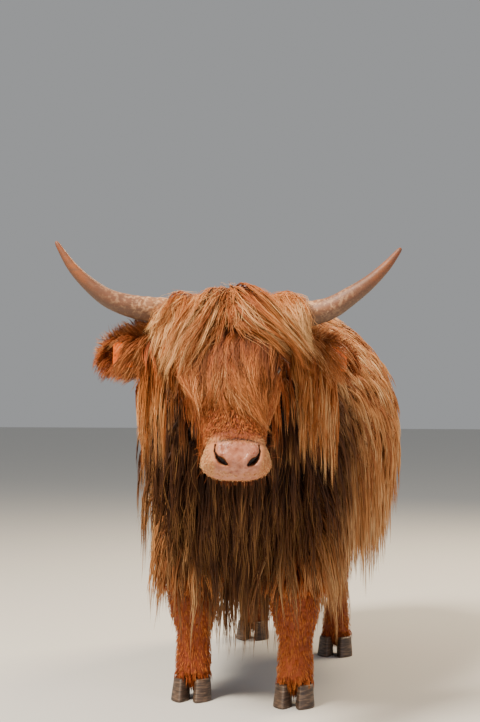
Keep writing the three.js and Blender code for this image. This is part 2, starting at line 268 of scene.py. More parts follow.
print("a round loft's grid:", loft([(0, 0, z, 1, 1, 1) for z in (0, 1)], (1, 0, 0), 12, 6).shape)

# %% [markdown]
# A mesh is filled from whole arrays at once. A finished piece rides on the root, names its
# material's slot and the solids it takes the place of, and may carry numbers at its points
# for its material to read. A smooth step is what blends one part of the animal into another.

# %% Meshes and pieces


def new_mesh(name, points, face_sets):
    """A mesh from arrays of points and of faces with three or four corners each."""
    corners = np.concatenate([faces.ravel() for faces in face_sets])
    counts = np.concatenate([np.full(len(faces), faces.shape[1]) for faces in face_sets])
    mesh = bpy.data.meshes.new(name)
    mesh.vertices.add(len(points))
    mesh.vertices.foreach_set("co", np.asarray(points, np.float32).ravel())
    mesh.loops.add(len(corners))
    mesh.loops.foreach_set("vertex_index", corners.astype(np.int32))
    mesh.polygons.add(len(counts))
    starts = np.concatenate([[0], np.cumsum(counts)[:-1]])
    mesh.polygons.foreach_set("loop_start", starts.astype(np.int32))
    mesh.update(calc_edges=True)
    mesh.validate()
    return mesh


def read_vectors(items, name):
    values = np.empty(len(items) * 3, np.float32)
    items.foreach_get(name, values)
    return values.reshape(-1, 3).astype(float)


def points_of(mesh):
    return read_vectors(mesh.vertices, "co")


def normals_of(mesh):
    return read_vectors(mesh.vertices, "normal")


def triangles_of(mesh):
    mesh.calc_loop_triangles()
    tris = np.empty(len(mesh.loop_triangles) * 3, np.int32)
    mesh.loop_triangles.foreach_get("vertices", tris)
    return tris.reshape(-1, 3)


def outward(mesh):
    """Turns the faces round if the solid's signed volume says that they point inwards."""
    points = points_of(mesh)[triangles_of(mesh)]
    if np.einsum("ij,ij->", points[:, 0], np.cross(points[:, 1], points[:, 2])) < 0:
        mesh.flip_normals()
    return mesh


def add_piece(name, mesh, material, replaced=()):
    piece = new_object(name, mesh)
    mesh.polygons.foreach_set("use_smooth", np.ones(len(mesh.polygons), bool))
    mesh.materials.clear()
    mesh.materials.append(material)
    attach(piece, "root")
    if replaced:
        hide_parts(*replaced)
    print(name, len(mesh.polygons), "faces")
    return piece


def give(mesh, name, values):
    """One number for each point of a mesh, for its material to read."""
    mesh.attributes.new(name, "FLOAT", "POINT").data.foreach_set(
        "value", np.asarray(values, np.float32))


def step(low, high, value):
    """A smooth step from 0 at low to 1 at high: 3 t^2 - 2 t^3."""
    t = np.clip((value - low) / (high - low), 0, 1)
    return t * t * (3 - 2 * t)


print("a quarter of the way up a smooth step:", step(0, 1, 0.25))

# %% [markdown]
# The head has its own frame: across it, down the face from the poll, and out of the face. It
# hangs from the poll with the face sloping forward, and looks a little to its left. Points
# are worked out in that frame and then set on the body.

# %% Head frame
POLL = np.array([0.031, -0.350, 1.094])
FACE_SLOPE = np.radians(33.5)
HEAD_TURN = np.radians(14)
HEAD_TILT = np.radians(1)
DOWN_FACE = np.array([0, -np.sin(FACE_SLOPE), -np.cos(FACE_SLOPE)])
OUT_OF_FACE = np.array([0, -np.cos(FACE_SLOPE), np.sin(FACE_SLOPE)])


def turned(axis, angle):
    """A turn by angle about the Z or the Y axis, as a matrix."""
    c, s = np.cos(angle), np.sin(angle)
    if axis == "Z":
        return np.array([[c, -s, 0], [s, c, 0], [0, 0, 1]])
    return np.array([[c, 0, s], [0, 1, 0], [-s, 0, c]])


HEAD_AXES = turned("Z", HEAD_TURN) @ turned("Y", HEAD_TILT)


def on_head(points):
    """Points of the head's frame, set on the body."""
    return points @ HEAD_AXES.T + POLL


def in_head(points):
    """Points of the body, told in the head's frame."""
    return (points - POLL) @ HEAD_AXES


def head_way(across, ahead, up):
    """A direction given across the head, ahead of it and up, turned to the body's."""
    across, ahead, up = np.broadcast_arrays(across, ahead, up)
    return np.stack([across, -ahead, up], -1) @ HEAD_AXES.T


def face_point(across, down, out):
    """across * X + down * down the face + out * out of it."""
    across, down, out = np.broadcast_arrays(across, down, out)
    return (across[..., None] * np.array([1.0, 0, 0]) + down[..., None] * DOWN_FACE
            + out[..., None] * OUT_OF_FACE)


def face_rows(table):
    """Rows down the face: down, out, half width, front, back, power, narrow."""
    return [[0, *(down * DOWN_FACE + out * OUT_OF_FACE)[1:], half, back, front, *rest]
            for down, out, half, front, back, *rest in table]


print("end of the nose:", on_head(face_point(0.0, 0.5, 0.0)).round(3))

# %% [markdown]
# The animal is drawn about its own middle line, with the fore feet at zero along it. The
# frame's origin is the middle of its box instead. The shift between the two is measured from
# an eye, whose place in the head is known.

# %% Where the animal's own axes lie in the frame
EYE_PLACE = np.array([0.099, 0.205, 0.022])
ORIGIN = np.mean(np.array(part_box("eye_left")), axis=0) - on_head(face_point(*EYE_PLACE))
print("middle line and fore feet:", ORIGIN.round(4))

# %% [markdown]
# Under the coat the body is drawn as lofts at the depth of the skin: a deep barrel, a short
# neck, four legs and a tail. A coat of five to twenty centimetres hides them, so what matters
# is their girth, and the forms that short hair shows: knees, cannons, hocks and fetlocks.

# %% The body under its coat
FORE_HALF = 0.150
HIND_HALF = 0.164
FOOT_ALONG = {"fore_left": -0.022, "fore_right": 0.022, "hind_left": 0.850, "hind_right": 1.150}
SIDES = {"left": 1, "right": -1}
X_AXIS = (1, 0, 0)

# y, top, bottom, half width, height of the widest point, power, narrow
TRUNK = [
    (-0.15, 0.76, 0.54, 0.07, 0.64),
    (-0.10, 0.90, 0.49, 0.15, 0.67),
    (-0.01, 1.03, 0.465, 0.21, 0.71, 2.3, 0.05),
    (0.12, 1.112, 0.46, 0.25, 0.74, 2.3, 0.1),
    (0.30, 1.098, 0.475, 0.285, 0.74, 2.3, 0.1),
    (0.52, 1.092, 0.485, 0.325, 0.73, 2.3, 0.08),
    (0.74, 1.108, 0.50, 0.33, 0.73, 2.4, 0.06),
    (0.93, 1.136, 0.54, 0.312, 0.77, 2.5, 0.06),
    (1.08, 1.134, 0.60, 0.27, 0.81, 2.5, 0.06),
    (1.19, 1.095, 0.67, 0.205, 0.85, 2.4, 0.05),
    (1.25, 1.00, 0.76, 0.11, 0.87),
]
# x, y, height of the middle, half width, over, under
NECK = [
    (0.024, -0.325, 0.950, 0.10, 0.09, 0.10),
    (0.018, -0.25, 0.915, 0.118, 0.15, 0.155),
    (0.006, -0.13, 0.875, 0.155, 0.20, 0.21),
    (0, 0.03, 0.84, 0.19, 0.24, 0.27),
    (0, 0.16, 0.82, 0.20, 0.25, 0.28),
]
TAIL = [
    (0, 1.19, 1.09, 0.028, 0.02, 0.028),
    (0, 1.262, 1.045, 0.028, 0.02, 0.024),
    (0, 1.298, 0.90, 0.02, 0.016, 0.016),
    (0, 1.303, 0.72, 0.016, 0.013, 0.013),
    (0, 1.303, 0.58, 0.012, 0.011, 0.011),
    (0, 1.303, 0.50, 0.008, 0.008, 0.008),
]


def fore_leg(sign, foot):
    """x, y, z, half width, behind, in front, power, down a fore leg."""
    x = sign * FORE_HALF
    return [
        (sign * 0.150, 0.11, 0.93, 0.06, 0.07, 0.09),
        (sign * 0.168, 0.06, 0.78, 0.072, 0.105, 0.115),
        (sign * 0.160, 0.04 + 0.5 * foot, 0.60, 0.068, 0.085, 0.09),
        (sign * 0.154, 0.015 + foot, 0.47, 0.064, 0.068, 0.068),
        (x, 0.004 + foot, 0.37, 0.062, 0.062, 0.060),
        (x, foot, 0.30, 0.068, 0.062, 0.064, 2.5),
        (x, foot + 0.002, 0.25, 0.063, 0.060, 0.060, 2.5),
        (x, foot + 0.004, 0.185, 0.046, 0.050, 0.043),
        (x, foot + 0.004, 0.112, 0.048, 0.052, 0.044),
        (x, foot - 0.012, 0.052, 0.047, 0.044, 0.048, 2.6),
    ]


def hind_leg(sign, foot):
    """The same down a hind leg, which bends forward at the stifle and back at the hock."""
    x = sign * HIND_HALF
    hock = foot + 0.084
    stride = foot - 1.0
    return [
        (sign * 0.13, 1.07, 0.95, 0.08, 0.12, 0.13),
        (sign * 0.165, 1.045, 0.80, 0.095, 0.15, 0.15, 2.3),
        (sign * 0.172, 1.03 + 0.15 * stride, 0.66, 0.085, 0.13, 0.135, 2.3),
        (sign * 0.168, 1.06 + 0.5 * stride, 0.55, 0.062, 0.085, 0.085),
        (sign * 0.166, hock, 0.465, 0.046, 0.062, 0.048),
        (x, hock - 0.002, 0.395, 0.042, 0.056, 0.046),
        (x, hock - 0.030, 0.28, 0.035, 0.041, 0.037),
        (x, foot + 0.030, 0.185, 0.034, 0.041, 0.034),
        (x, foot + 0.014, 0.112, 0.042, 0.047, 0.040),
        (x, foot - 0.010, 0.052, 0.045, 0.042, 0.046, 2.6),
    ]


def body_rows():
    """The rows of every loft below the head, by name."""
    trunk = [(0, y, middle, half, top - middle, middle - bottom, *shape)
             for y, top, bottom, half, middle, *shape in TRUNK]
    rows = {"trunk": trunk, "neck": NECK, "tail": TAIL}
    for leg, foot in FOOT_ALONG.items():
        pair, side = leg.split("_")
        rows[leg] = (fore_leg if pair == "fore" else hind_leg)(SIDES[side], foot)
    return rows


BODY = body_rows()
# points round and steps along
LEG_GRID = (32, 64)
GRIDS = {"trunk": (72, 60), "neck": (48, 24), "tail": (16, 40)}
body_grids = {name: loft(rows, X_AXIS, *GRIDS.get(name, LEG_GRID), ends=(0.05, 0.04))
              for name, rows in BODY.items()}
print("lofts:", {name: grid.shape[:2] for name, grid in body_grids.items()})

# %% [markdown]
# The head is one fine loft down the face whose points are then pushed about by smooth bumps
# and grooves, as a modeller works clay: brow and orbit, the hollow under it, the cheek, the
# nostrils, the lip and chin. Two millimetres between points is fine enough for a nostril.

# %% Head shape
FACE_LENGTH = 0.505
MUZZLE_HALF = 0.080
EYE_RADIUS = 0.0195
# down, out, half width, front, back, power, narrow
HEAD = [
    (-0.020, -0.012, 0.070, 0.030, 0.055),
    (0.050, -0.006, 0.102, 0.070, 0.10, 2.3),
    (0.130, 0.000, 0.110, 0.076, 0.125, 2.4),
    (0.205, 0.000, 0.108, 0.074, 0.128, 2.4),
    (0.280, 0.002, 0.092, 0.066, 0.112, 2.4, 0.05),
    (0.350, 0.004, 0.076, 0.058, 0.092, 2.4, 0.10),
    (0.405, 0.004, 0.073, 0.054, 0.078, 2.5, 0.10),
    (0.455, 0.000, 0.078, 0.054, 0.070, 2.8, 0.08),
    (FACE_LENGTH, -0.004, 0.066, 0.044, 0.054, 2.5, 0.08),
]
NOSTRIL = np.array([(0.0540, -0.349), (0.0555, -0.365), (0.049, -0.379), (0.038, -0.388),
                    (0.0275, -0.395)])
MOUTH_OUT = -0.044
MOUTH_CENTRE = np.array([0.0, 0.40, -0.03])
# as across, down and out: the way the head faces, and into a nostril from in front of it
AHEAD = np.array([0, 0.5519, 0.8339])
INTO_NOSTRIL = -(0.55 * AHEAD + 0.15 * np.array([1.0, 0, 0]))
FOLD_DROP = 0.334
# across, down and out of a form's middle, its reach along each, and how it moves the skin
FACE_FORMS = np.array([
    (0.085, 0.165, 0.055, 0.03, 0.035, 0.03, 0.004, 0, 0.008),  # brow
    (0.112, 0.207, 0.022, 0.03, 0.045, 0.034, 0.005, 0, 0.003),  # orbit
    (0.105, 0.285, 0.030, 0.03, 0.03, 0.04, -0.005, 0, -0.002),  # hollow below it
    (0.105, 0.180, -0.075, 0.05, 0.075, 0.055, 0.008, 0, 0),  # cheek
    (0.0, 0.02, 0.05, 0.06, 0.05, 0.05, 0, -0.006, 0.008),  # poll
    (0.085, 0.375, -0.005, 0.03, 0.03, 0.03, -0.004, 0, 0),  # corner of the lips
])


def bump(places, centre, reach, push):
    """Moves points by push, falling off from the centre as exp(-distance ** 2 / reach ** 2)."""
    away = np.linalg.norm((places - centre) / reach, axis=-1)
    return np.exp(-away ** 2)[..., None] * push


def nearest_on(line, places):
    """The distance of 2-D places from a line through points, and how far along it they lie."""
    start, end = line[:-1], line[1:]
    gap = places[..., None, :] - start
    run = end - start
    t = np.clip((gap * run).sum(-1) / (run ** 2).sum(-1), 0, 1)
    apart = np.linalg.norm(gap - t[..., None] * run, axis=-1)
    best = apart.argmin(-1)
    along = (best + np.take_along_axis(t, best[..., None], -1)[..., 0]) / len(run)
    return apart.min(-1), along


def to_nostril(a, h):
    """How far a place of the muzzle's front is from the nostril's line, and its share of it."""
    return nearest_on(NOSTRIL, np.stack([a, h], -1))


def over_fold(a, h):
    """Height over the fold that bounds the nose pad, which dips as a parabola at the sides."""
    return h + FOLD_DROP + 0.25 * a ** 2 / MUZZLE_HALF


def nostril_width(along):
    """Half the slit's width: narrow above, widest two thirds of the way down."""
    return 0.0024 + 0.0074 * np.exp(-((along - 0.72) / 0.27) ** 2)


def sculpt_head(grid):
    """Works on across (a), down (d) and out (o) of each point, one side mirroring the other,
    and on its height from the poll (h). Grooves and ridges are exp(-(distance / reach) ** 2)."""
    side = np.where(grid[..., 0] < 0, -1.0, 1.0)
    a = np.abs(grid[..., 0])
    d = grid[..., 1:] @ DOWN_FACE[1:]
    o = grid[..., 1:] @ OUT_OF_FACE[1:]
    places = np.stack([a, d, o], -1)
    move = np.zeros_like(places)
    for form in FACE_FORMS:
        move += bump(places, *form.reshape(3, 3))
    places = places + move
    h = d * DOWN_FACE[2] + o * OUT_OF_FACE[2]
    lobe = 0.15 * np.exp(-((h + 0.404) / 0.024) ** 2) - 0.07 * np.exp(-((h + 0.345) / 0.015) ** 2)
    wider = 1 + lobe * step(0.385, 0.43, d)
    a = a * wider
    places[..., 0] *= wider
    facing = step(0.30, 0.40, d) * step(-0.02, 0.02, o + 0.9 * (d - 0.44))
    rim, along = to_nostril(a, h)
    wide = nostril_width(along)
    hole = 1 - step(0.35, 1.15, rim / wide)
    wing = np.exp(-((rim - wide - 0.008) / 0.007) ** 2)
    places += (facing * hole * (0.010 + 2.6 * wide))[..., None] * INTO_NOSTRIL
    places -= (facing * wing * 0.006)[..., None] * INTO_NOSTRIL
    crease = np.exp(-(over_fold(a, h) / 0.006) ** 2)
    places += (facing * crease * 0.006)[..., None] * INTO_NOSTRIL
    groove = np.exp(-((o - MOUTH_OUT - 0.006 * np.cos(a / 0.025)) / 0.0045) ** 2)
    cheek = step(0.385, 0.425, d)
    pull = unit(MOUTH_CENTRE - places)
    places += (groove * cheek * 0.011)[..., None] * pull
    lip = np.exp(-((o - MOUTH_OUT - 0.014) / 0.010) ** 2) * cheek
    places -= (lip * 0.004)[..., None] * pull
    philtrum = np.exp(-(a / 0.003) ** 2) * np.exp(-((h + 0.412) / 0.016) ** 2) * facing
    places += (philtrum * 0.003)[..., None] * INTO_NOSTRIL
    return face_point(places[..., 0] * side, places[..., 1], places[..., 2])


head_local = sculpt_head(loft(face_rows(HEAD), X_AXIS, 224, 236, ends=(0.05, 0.07)))
print("head points:", head_local.shape[:2])

# %% [markdown]
# An eyelid is skin that rests on the eyeball and parts along an almond. Round each eye the
# skin is therefore moved in or out from the eyeball's centre: outside the almond it keeps a
# lid's thickness above the ball, and inside it drops behind, so the ball shows.

# %% Eyelids
LID_THICK = 0.0032
LID_HALF = 0.0215
LID_OPEN = 0.0118


def eye_frame(sign):
    """The eye's centre in the head's frame, the way it looks, and the line of its lids."""
    across, down, out = EYE_PLACE
    centre = face_point(sign * across, down, out)
    look = unit(np.array([sign * 1.0, -0.30, 0.02]))
    corner = unit(np.cross(np.array([0, 0.45, 0.89]), look)) * sign
    corner = unit(corner - look * (corner @ look))
    return centre, look, corner, np.cross(look, corner)


def lids(points, sign):
    """Radius from the eye's centre: at least the ball and lid outside the almond
    b = open * (1 - (a / half) ** 2), and well inside the ball within it."""
    centre, look, corner, over = eye_frame(sign)
    gap = points - centre
    radius = np.linalg.norm(gap, axis=-1)
    facing = gap @ look / np.maximum(radius, 1e-6)
    a, b = gap @ corner, gap @ over
    open_at = LID_OPEN * np.maximum(0, 1 - (a / LID_HALF) ** 2)
    edge = np.abs(b) - open_at
    lid_radius = EYE_RADIUS + LID_THICK * (1 + 0.7 * np.exp(-(edge / 0.0035) ** 2))
    lid_radius += 0.002 * np.exp(-((edge - 0.009) / 0.002) ** 2) * (b > 0)
    lid_radius -= 0.0022 * np.exp(-((edge - 0.0062) / 0.0018) ** 2)
    inside = step(0.0005, -0.0012, edge) * step(0.2, 0.5, facing)
    near = step(0.046, 0.024, radius) * step(0.15, 0.45, facing)
    wanted = np.where(radius < lid_radius, lid_radius, radius * 0.35 + lid_radius * 0.65)
    wanted = radius + near * (wanted - radius)
    wanted = wanted + inside * (EYE_RADIUS - 0.006 - wanted)
    return centre + gap * (wanted / np.maximum(radius, 1e-6))[..., None]


for sign in SIDES.values():
    head_local = lids(head_local, sign)
print("lids open", 2 * LID_HALF * 1000, "mm wide")

# %% [markdown]
# An ear is a thin leaf of skin, cupped towards the front. It is a loft along the ear whose
# rings are bent forward at both edges.

# %% Ears
EAR_ROOT = 0.118
EAR_HALF = 0.05
EAR_SWEEP = {"left": np.radians(19), "right": np.radians(6)}
EAR = [
    (0.075, 0.020, -0.060, 0.022, 0.018, 0.020),
    (0.118, 0.014, -0.070, 0.026, 0.016, 0.018),
    (0.165, 0.004, -0.092, 0.046, 0.010, 0.008),
    (0.215, -0.004, -0.112, 0.058, 0.007, 0.005),
    (0.265, -0.008, -0.124, 0.052, 0.006, 0.004),
    (0.305, -0.008, -0.128, 0.030, 0.005, 0.004),
    (0.328, -0.006, -0.128, 0.008, 0.004, 0.003),
]


def in_ear(points, side):
    """Turns what is drawn for a level ear back about the ear's root."""
    root = np.array([SIDES[side] * EAR_ROOT, 0, 0])
    return (points - root) @ turned("Z", SIDES[side] * EAR_SWEEP[side]).T + root


def ear_grid(side):
    """A loft along the ear, whose edges come forward by 2 cm * (height / half height) ** 2."""
    sign = SIDES[side]
    rows = [(sign * x, *rest) for x, *rest in EAR]
    grid = loft(rows, (0, 0, sign), 48, 64, ends=(0.05, 0.06))
    axis = smooth_rows([row[:3] for row in rows], np.linspace(0, 1, 65))[:, None]
    cup = np.abs(grid[..., 2] - axis[..., 2]) / EAR_HALF
    grid[..., 1] -= 0.020 * cup ** 2 * step(0.12, 0.18, sign * grid[..., 0])
    return in_ear(grid, side)


print("ear grid:", ear_grid("left").shape[:2])

# %% [markdown]
# One skin: the body's lofts are joined and remeshed by voxels, which melts the creases where
# a leg or the neck meets the trunk. The head and ears keep their finer grids, and a boolean
# joins them to it, so the whole is one closed surface with nothing inside.

# %% Join the skin
BODY_VOXEL = 0.0135


def closed_mesh(name, grid):
    """A closed mesh from a grid drawn about the animal's own axes, moved into the frame."""
    points, faces = closed_grid(grid)
    return outward(new_mesh(name, points + ORIGIN, faces))


def applied(piece):
    """The mesh of a piece with its modifiers worked in."""
    view = piece.evaluated_get(bpy.context.evaluated_depsgraph_get())
    mesh = bpy.data.meshes.new_from_object(view)
    bpy.data.objects.remove(piece)
    return mesh


def joined(grids):
    """Several closed grids in one mesh, one after another."""
    points, faces, base = [], [], 0
    for grid in grids:
        mesh = closed_mesh("part", grid)
        points.append(points_of(mesh))
        faces.append(triangles_of(mesh) + base)
        base += len(points[-1])
    return new_mesh("joined", np.concatenate(points), [np.concatenate(faces)])


def make_skin():
    """Melts the body's lofts into one, then joins the head and the ears to it."""
    body = new_object("body", joined(body_grids.values()))
    melt = body.modifiers.new("melt", "REMESH")
    melt.mode = "VOXEL"
    melt.voxel_size = BODY_VOXEL
    soften = body.modifiers.new("soften", "SMOOTH")
    soften.iterations = 6
    body = new_object("body", applied(body))
    for grid in (head_local, *(ear_grid(side) for side in SIDES)):
        extra = new_object("extra", closed_mesh("extra", on_head(grid)))
        cut = body.modifiers.new("join", "BOOLEAN")
        cut.operation = "UNION"
        cut.solver = "MANIFOLD"
        cut.object = extra
        body = new_object("body", applied(body))
        bpy.data.objects.remove(extra)
    mesh = body.data
    bpy.data.objects.remove(body)
    return mesh


skin_mesh = make_skin()
skin_points = points_of(skin_mesh) - ORIGIN
skin_normals = normals_of(skin_mesh)
print("skin:", len(skin_mesh.polygons), "faces, low", skin_points[:, 2].min().round(3))

# %% [markdown]
# Hair is planted and combed by where it grows, so every point of the skin is told which loft
# it belongs to, how far along it lies and how far round. The last two are also the unwrap
# that the locks' texture places are taken from: each form unrolled from its own axis.

# %% Which part of the body a point is on
FORMS = {name: (np.array([list(row[:6]) for row in rows], float), np.array(X_AXIS, float))
         for name, rows in BODY.items()}


def placed_rows(rows, move):
    rows = np.array([list(row[:6]) for row in rows], float)
    rows[:, :3] = move(rows[:, :3])
    return rows


FORMS["head"] = (placed_rows(face_rows(HEAD), on_head), HEAD_AXES @ np.array(X_AXIS))
for side, sign in SIDES.items():
    ear = placed_rows([(sign * row[0], *row[1:]) for row in EAR],
                      lambda at, side=side: on_head(in_ear(at, side)))
    FORMS["ear_" + side] = (ear, np.array([0.0, 0, sign]))
RING_COUNT = 25


def on_form(name, points):
    """How far along a form (0 to 1), how far round (0 to 1), and the distance from its axis
    as a share of its girth there, by the nearest of its rings."""
    rows, side = FORMS[name]
    u = np.linspace(0, 1, RING_COUNT)
    centre, width, up, sizes = rings_of(rows, side, u)
    girth = sizes[:, :3].mean(1)
    away = np.linalg.norm(points[:, None] - centre, axis=-1) / girth
    best = away.argmin(1)
    gap = points - centre[best]
    ahead = np.cross(up, width)[best]
    run = np.linalg.norm(np.diff(centre, axis=0), axis=1).sum()
    along = np.clip(u[best] + (gap * ahead).sum(-1) / run, 0, 1)
    turn = np.arctan2((gap * up[best]).sum(-1), (gap * width[best]).sum(-1))
    return along, turn / (2 * np.pi) % 1, away.min(1)


def forms_of(points):
    """The name of the form that each point is nearest to, and how far along and round it."""
    names = list(FORMS)
    found = [on_form(name, points) for name in names]
    best = np.argmin([away for _, _, away in found], axis=0)
    along, turn = (np.choose(best, [values[k] for values in found]) for k in (0, 1))
    return np.array(names)[best], along, turn


skin_tris = triangles_of(skin_mesh)
corners = skin_points[skin_tris]
tri_area = np.linalg.norm(np.cross(corners[:, 1] - corners[:, 0],
                                   corners[:, 2] - corners[:, 0]), axis=-1) / 2
tri_middle = corners.mean(1)
tri_normal = unit(skin_normals[skin_tris].mean(1))
tri_form, _, _ = forms_of(tri_middle)


class Spot:
    """Where points are, in the ways that the coat asks for it: x, y and z on the body; on the
    head, a across it, how far off its middle and on which side that is, up_head and
    ahead_head from the poll, d down the face and o out of it; and which way the skin faces."""

    def __init__(self, points, normals, form):
        self.normals, self.form = normals, form
        self.x, self.y, self.z = points.T
        local = in_head(points)
        self.a, self.up_head, self.ahead_head = local[:, 0], local[:, 2], -local[:, 1]
        self.d, self.o = local @ DOWN_FACE, local @ OUT_OF_FACE
        self.off, self.side = np.abs(self.a), np.sign(self.a)
        self.faces_up, self.faces_ahead = normals[:, 2], normals @ head_way(0.0, 1.0, 0.0)

    def on(self, *names):
        return np.isin(self.form, names).astype(float)


tri_spot = Spot(tri_middle, tri_normal, tri_form)
skin_spot = Spot(skin_points, skin_normals, forms_of(skin_points)[0])
print({str(name): round(float(tri_area[tri_form == name].sum()), 3) for name in FORMS})

# %% [markdown]
# Horns leave the poll sideways, dip a little, then sweep up and forward to a fine tip. They
# are made before the hair, because the forelock lies over their bases. A horn is a sheath
# that grows from its base, so its surface has faint rings there and is smooth at the tip.

# %% Horns
HORN_REACH = {"left": 0.435, "right": 0.461}
HORN_RISE = {"left": 0.164, "right": 0.160}
HORN_BASE = 0.0345
HORN_FROM = 0.06
# share of the reach, share of the rise left and right, back, radius as a share of the base's
HORN = [
    (0.13, -0.16, -0.16, 0.008, 1.02),
    (0.30, -0.12, -0.10, -0.010, 1.03),
    (0.46, -0.07, -0.06, -0.028, 0.96),
    (0.58, 0.02, -0.01, -0.040, 0.85),
    (0.70, 0.22, 0.10, -0.050, 0.70),
    (0.81, 0.44, 0.32, -0.056, 0.53),
    (0.91, 0.70, 0.61, -0.058, 0.37),
    (1.0, 1.0, 1.0, -0.054, 0.15),
]


def horn_grid(side):
    """A loft whose girth swells as sin(95 u) at its base, for rings that fade up the horn."""
    sign = SIDES[side]
    rows = [(sign * reach * HORN_REACH[side], back,
             (left if sign > 0 else right) * HORN_RISE[side],
             share * HORN_BASE, share * HORN_BASE, share * HORN_BASE, 2.0, 0.0)
            for reach, left, right, back, share in HORN]
    around, rings = 48, 150
    grid = loft(rows, (0, 1, 0), around, rings, ends=(0.02, 0.035))
    centre = grid.mean(1, keepdims=True)
    u = np.linspace(0, 1, rings + 1)[:, None, None]
    turn = np.arange(around)[None, :, None] / around * 2 * np.pi
    fade = (1 - step(0.25, 0.62, u)) * step(0.01, 0.06, u)
    swell = 0.020 * np.sin(95 * u + 1.3 * np.sin(turn + 9 * u)) + 0.012 * np.sin(3 * turn + 31 * u)
    return centre + (grid - centre) * (1 + fade * swell + 0.006 * np.sin(5 * turn + 12 * u))


horn_meshes = {side: closed_mesh("horn_" + side, on_head(horn_grid(side))) for side in SIDES}
print("horn faces:", [len(mesh.polygons) for mesh in horn_meshes.values()])

# %% [markdown]
# Horn is the same stuff as hair, imported solid: waxy and pinkish tan where it is thin over
# blood, and flaking in pale scales towards its base, where old layers lift. Its underside is
# darkened with painted shade.

# %% Horn finish


def horn_material():
    """Flakes 11 mm across near the base, over streaks 7 cm long and 1 cm wide."""
    material, tree = new_material("waxed grown horn", IOR=1.54)
    along = add_node(tree, "Attribute", attribute_name="along")
    under = add_node(tree, "Attribute", attribute_name="under")
    place = add_node(tree, "TexCoord")
    flakes = add_node(tree, "TexNoise", in_Vector=place, in_Scale=1 / 0.011, in_Detail=5.0,
                      in_Roughness=0.7)
    drawn = add_node(tree, "Mapping", in_Vector=place, in_Scale=(1 / 0.07, 1 / 0.01, 1 / 0.01))
    streaks = add_node(tree, "TexNoise", in_Vector=drawn, in_Scale=1.0, in_Detail=4.0)
    colour = add_node(tree, "ValToRGB", in_Fac=along, stops=(
        (0.0, "#a8744a"), (0.3, "#94623c"), (0.55, "#744830"), (0.72, "#6c4028"),
        (0.88, "#86491f"), (1.0, "#7a3c1a")))
    streaked = add_node(tree, "MapRange", in_0=streaks, in_1=0.42, in_2=0.68, in_4=0.7)
    near_base = add_node(tree, "MapRange", in_0=along, in_1=0.2, in_2=0.8, in_3=1.0, in_4=0.0)
    flaked = add_node(tree, "MapRange", in_0=flakes, in_1=0.50, in_2=0.58, in_4=0.85)
    flaked = add_node(tree, "Math", in_0=flaked, in_1=near_base, operation="MULTIPLY")
    # streaks and flakes are the horn's own colour; under mixes in painted shade on its underside
    for amount, code in ((streaked, "#5f3f2c"), (flaked, "#d4a87e"), (under, "#4a3526")):
        colour = add_node(tree, "Mix", in_0=amount, in_6=colour, in_7=linear(code),
                          data_type="RGBA")
    gloss = add_node(tree, "MapRange", in_0=flakes, in_1=0.3, in_2=0.7, in_3=0.48, in_4=0.72)
    relief = add_node(tree, "Bump", in_Height=flakes, in_Strength=0.5, in_Distance=0.0008)
    return surface(material, Base_Color=colour, Roughness=gloss, Normal=relief)


HORN_FINISH = horn_material()
for side, mesh in horn_meshes.items():
    local = in_head(points_of(mesh) - ORIGIN)
    give(mesh, "along", (np.abs(local[:, 0]) - HORN_FROM) / (HORN_REACH[side] - HORN_FROM))
    # painted shade: up to 0.75 where the horn's surface faces down
    give(mesh, "under", 0.75 * step(0.1, -0.9, (normals_of(mesh) @ HEAD_AXES)[:, 2]))
    add_piece("horn_sheath_" + side, mesh, HORN_FINISH, ["horn_" + side])

# %% [markdown]
# A cow's eye is large and dark: a brown iris nearly fills the opening, its pupil a flat oval
# that lies level, and the cornea stands a little proud over it and is always wet. The ball is
# one surface; its rings of colour are an attribute, the angle from where it looks.

# %% Eyes
IRIS_ANGLE = 0.72


def eye_mesh(side):
    """A sphere about the look direction, with a cornea of height 1.2 mm * cos over the iris."""
    centre, look, corner, over = eye_frame(SIDES[side])
    rings, around = 40, 48
    lean = np.linspace(0, np.pi, rings + 1)[:, None]
    turn = np.arange(around)[None] / around * 2 * np.pi
    radius = EYE_RADIUS - 0.0009 + 0.0010 * np.cos(np.clip(lean / IRIS_ANGLE, 0, 1) * np.pi / 2)
    grid = (np.cos(lean)[..., None] * look + (np.sin(lean) * np.cos(turn))[..., None] * corner
            + (np.sin(lean) * np.sin(turn))[..., None] * over) * radius[..., None]
    mesh = closed_mesh("eye_ball_" + side, on_head(centre + grid))
    gap = in_head(points_of(mesh) - ORIGIN) - centre
    angle = np.arccos(np.clip(unit(gap) @ look, -1, 1))
    give(mesh, "ring", angle)
    give(mesh, "pupil", np.hypot(gap @ corner / 0.0085, gap @ over / 0.0042)
         + 9 * (gap @ look < 0))
    return mesh


def eye_material():
    material, tree = new_material("wet eye", Roughness=0.12, IOR=1.376, Coat_Weight=0.5,
                                  Coat_Roughness=0.02)
    circle = add_node(tree, "Attribute", attribute_name="ring")
    pupil = add_node(tree, "Attribute", attribute_name="pupil")
    colour = add_node(tree, "ValToRGB", in_Fac=circle, stops=(
        (0.0, "#3b1d0c"), (0.45, "#4a2712"), (0.62, "#2a140a"), (0.76, "#1b0d07"),
        (0.84, "#7a5a4a")))
    opening = add_node(tree, "MapRange", in_0=pupil, in_1=0.85, in_2=1.05, in_3=1.0, in_4=0.0)
    colour = add_node(tree, "Mix", in_0=opening, in_6=colour, in_7=linear("#050406"),
                      data_type="RGBA")
    return surface(material, Base_Color=colour)


EYE_FINISH = eye_material()
for side in SIDES:
    add_piece("eye_ball_" + side, eye_mesh(side), EYE_FINISH, ["eye_" + side])

# %% [markdown]
# Each foot is two claws of hoof horn, flat below, steep and ringed in front, and rounder at
# the heel, with two small dewclaws above. Every one is drawn to the box of its own solid.

# %% Hooves


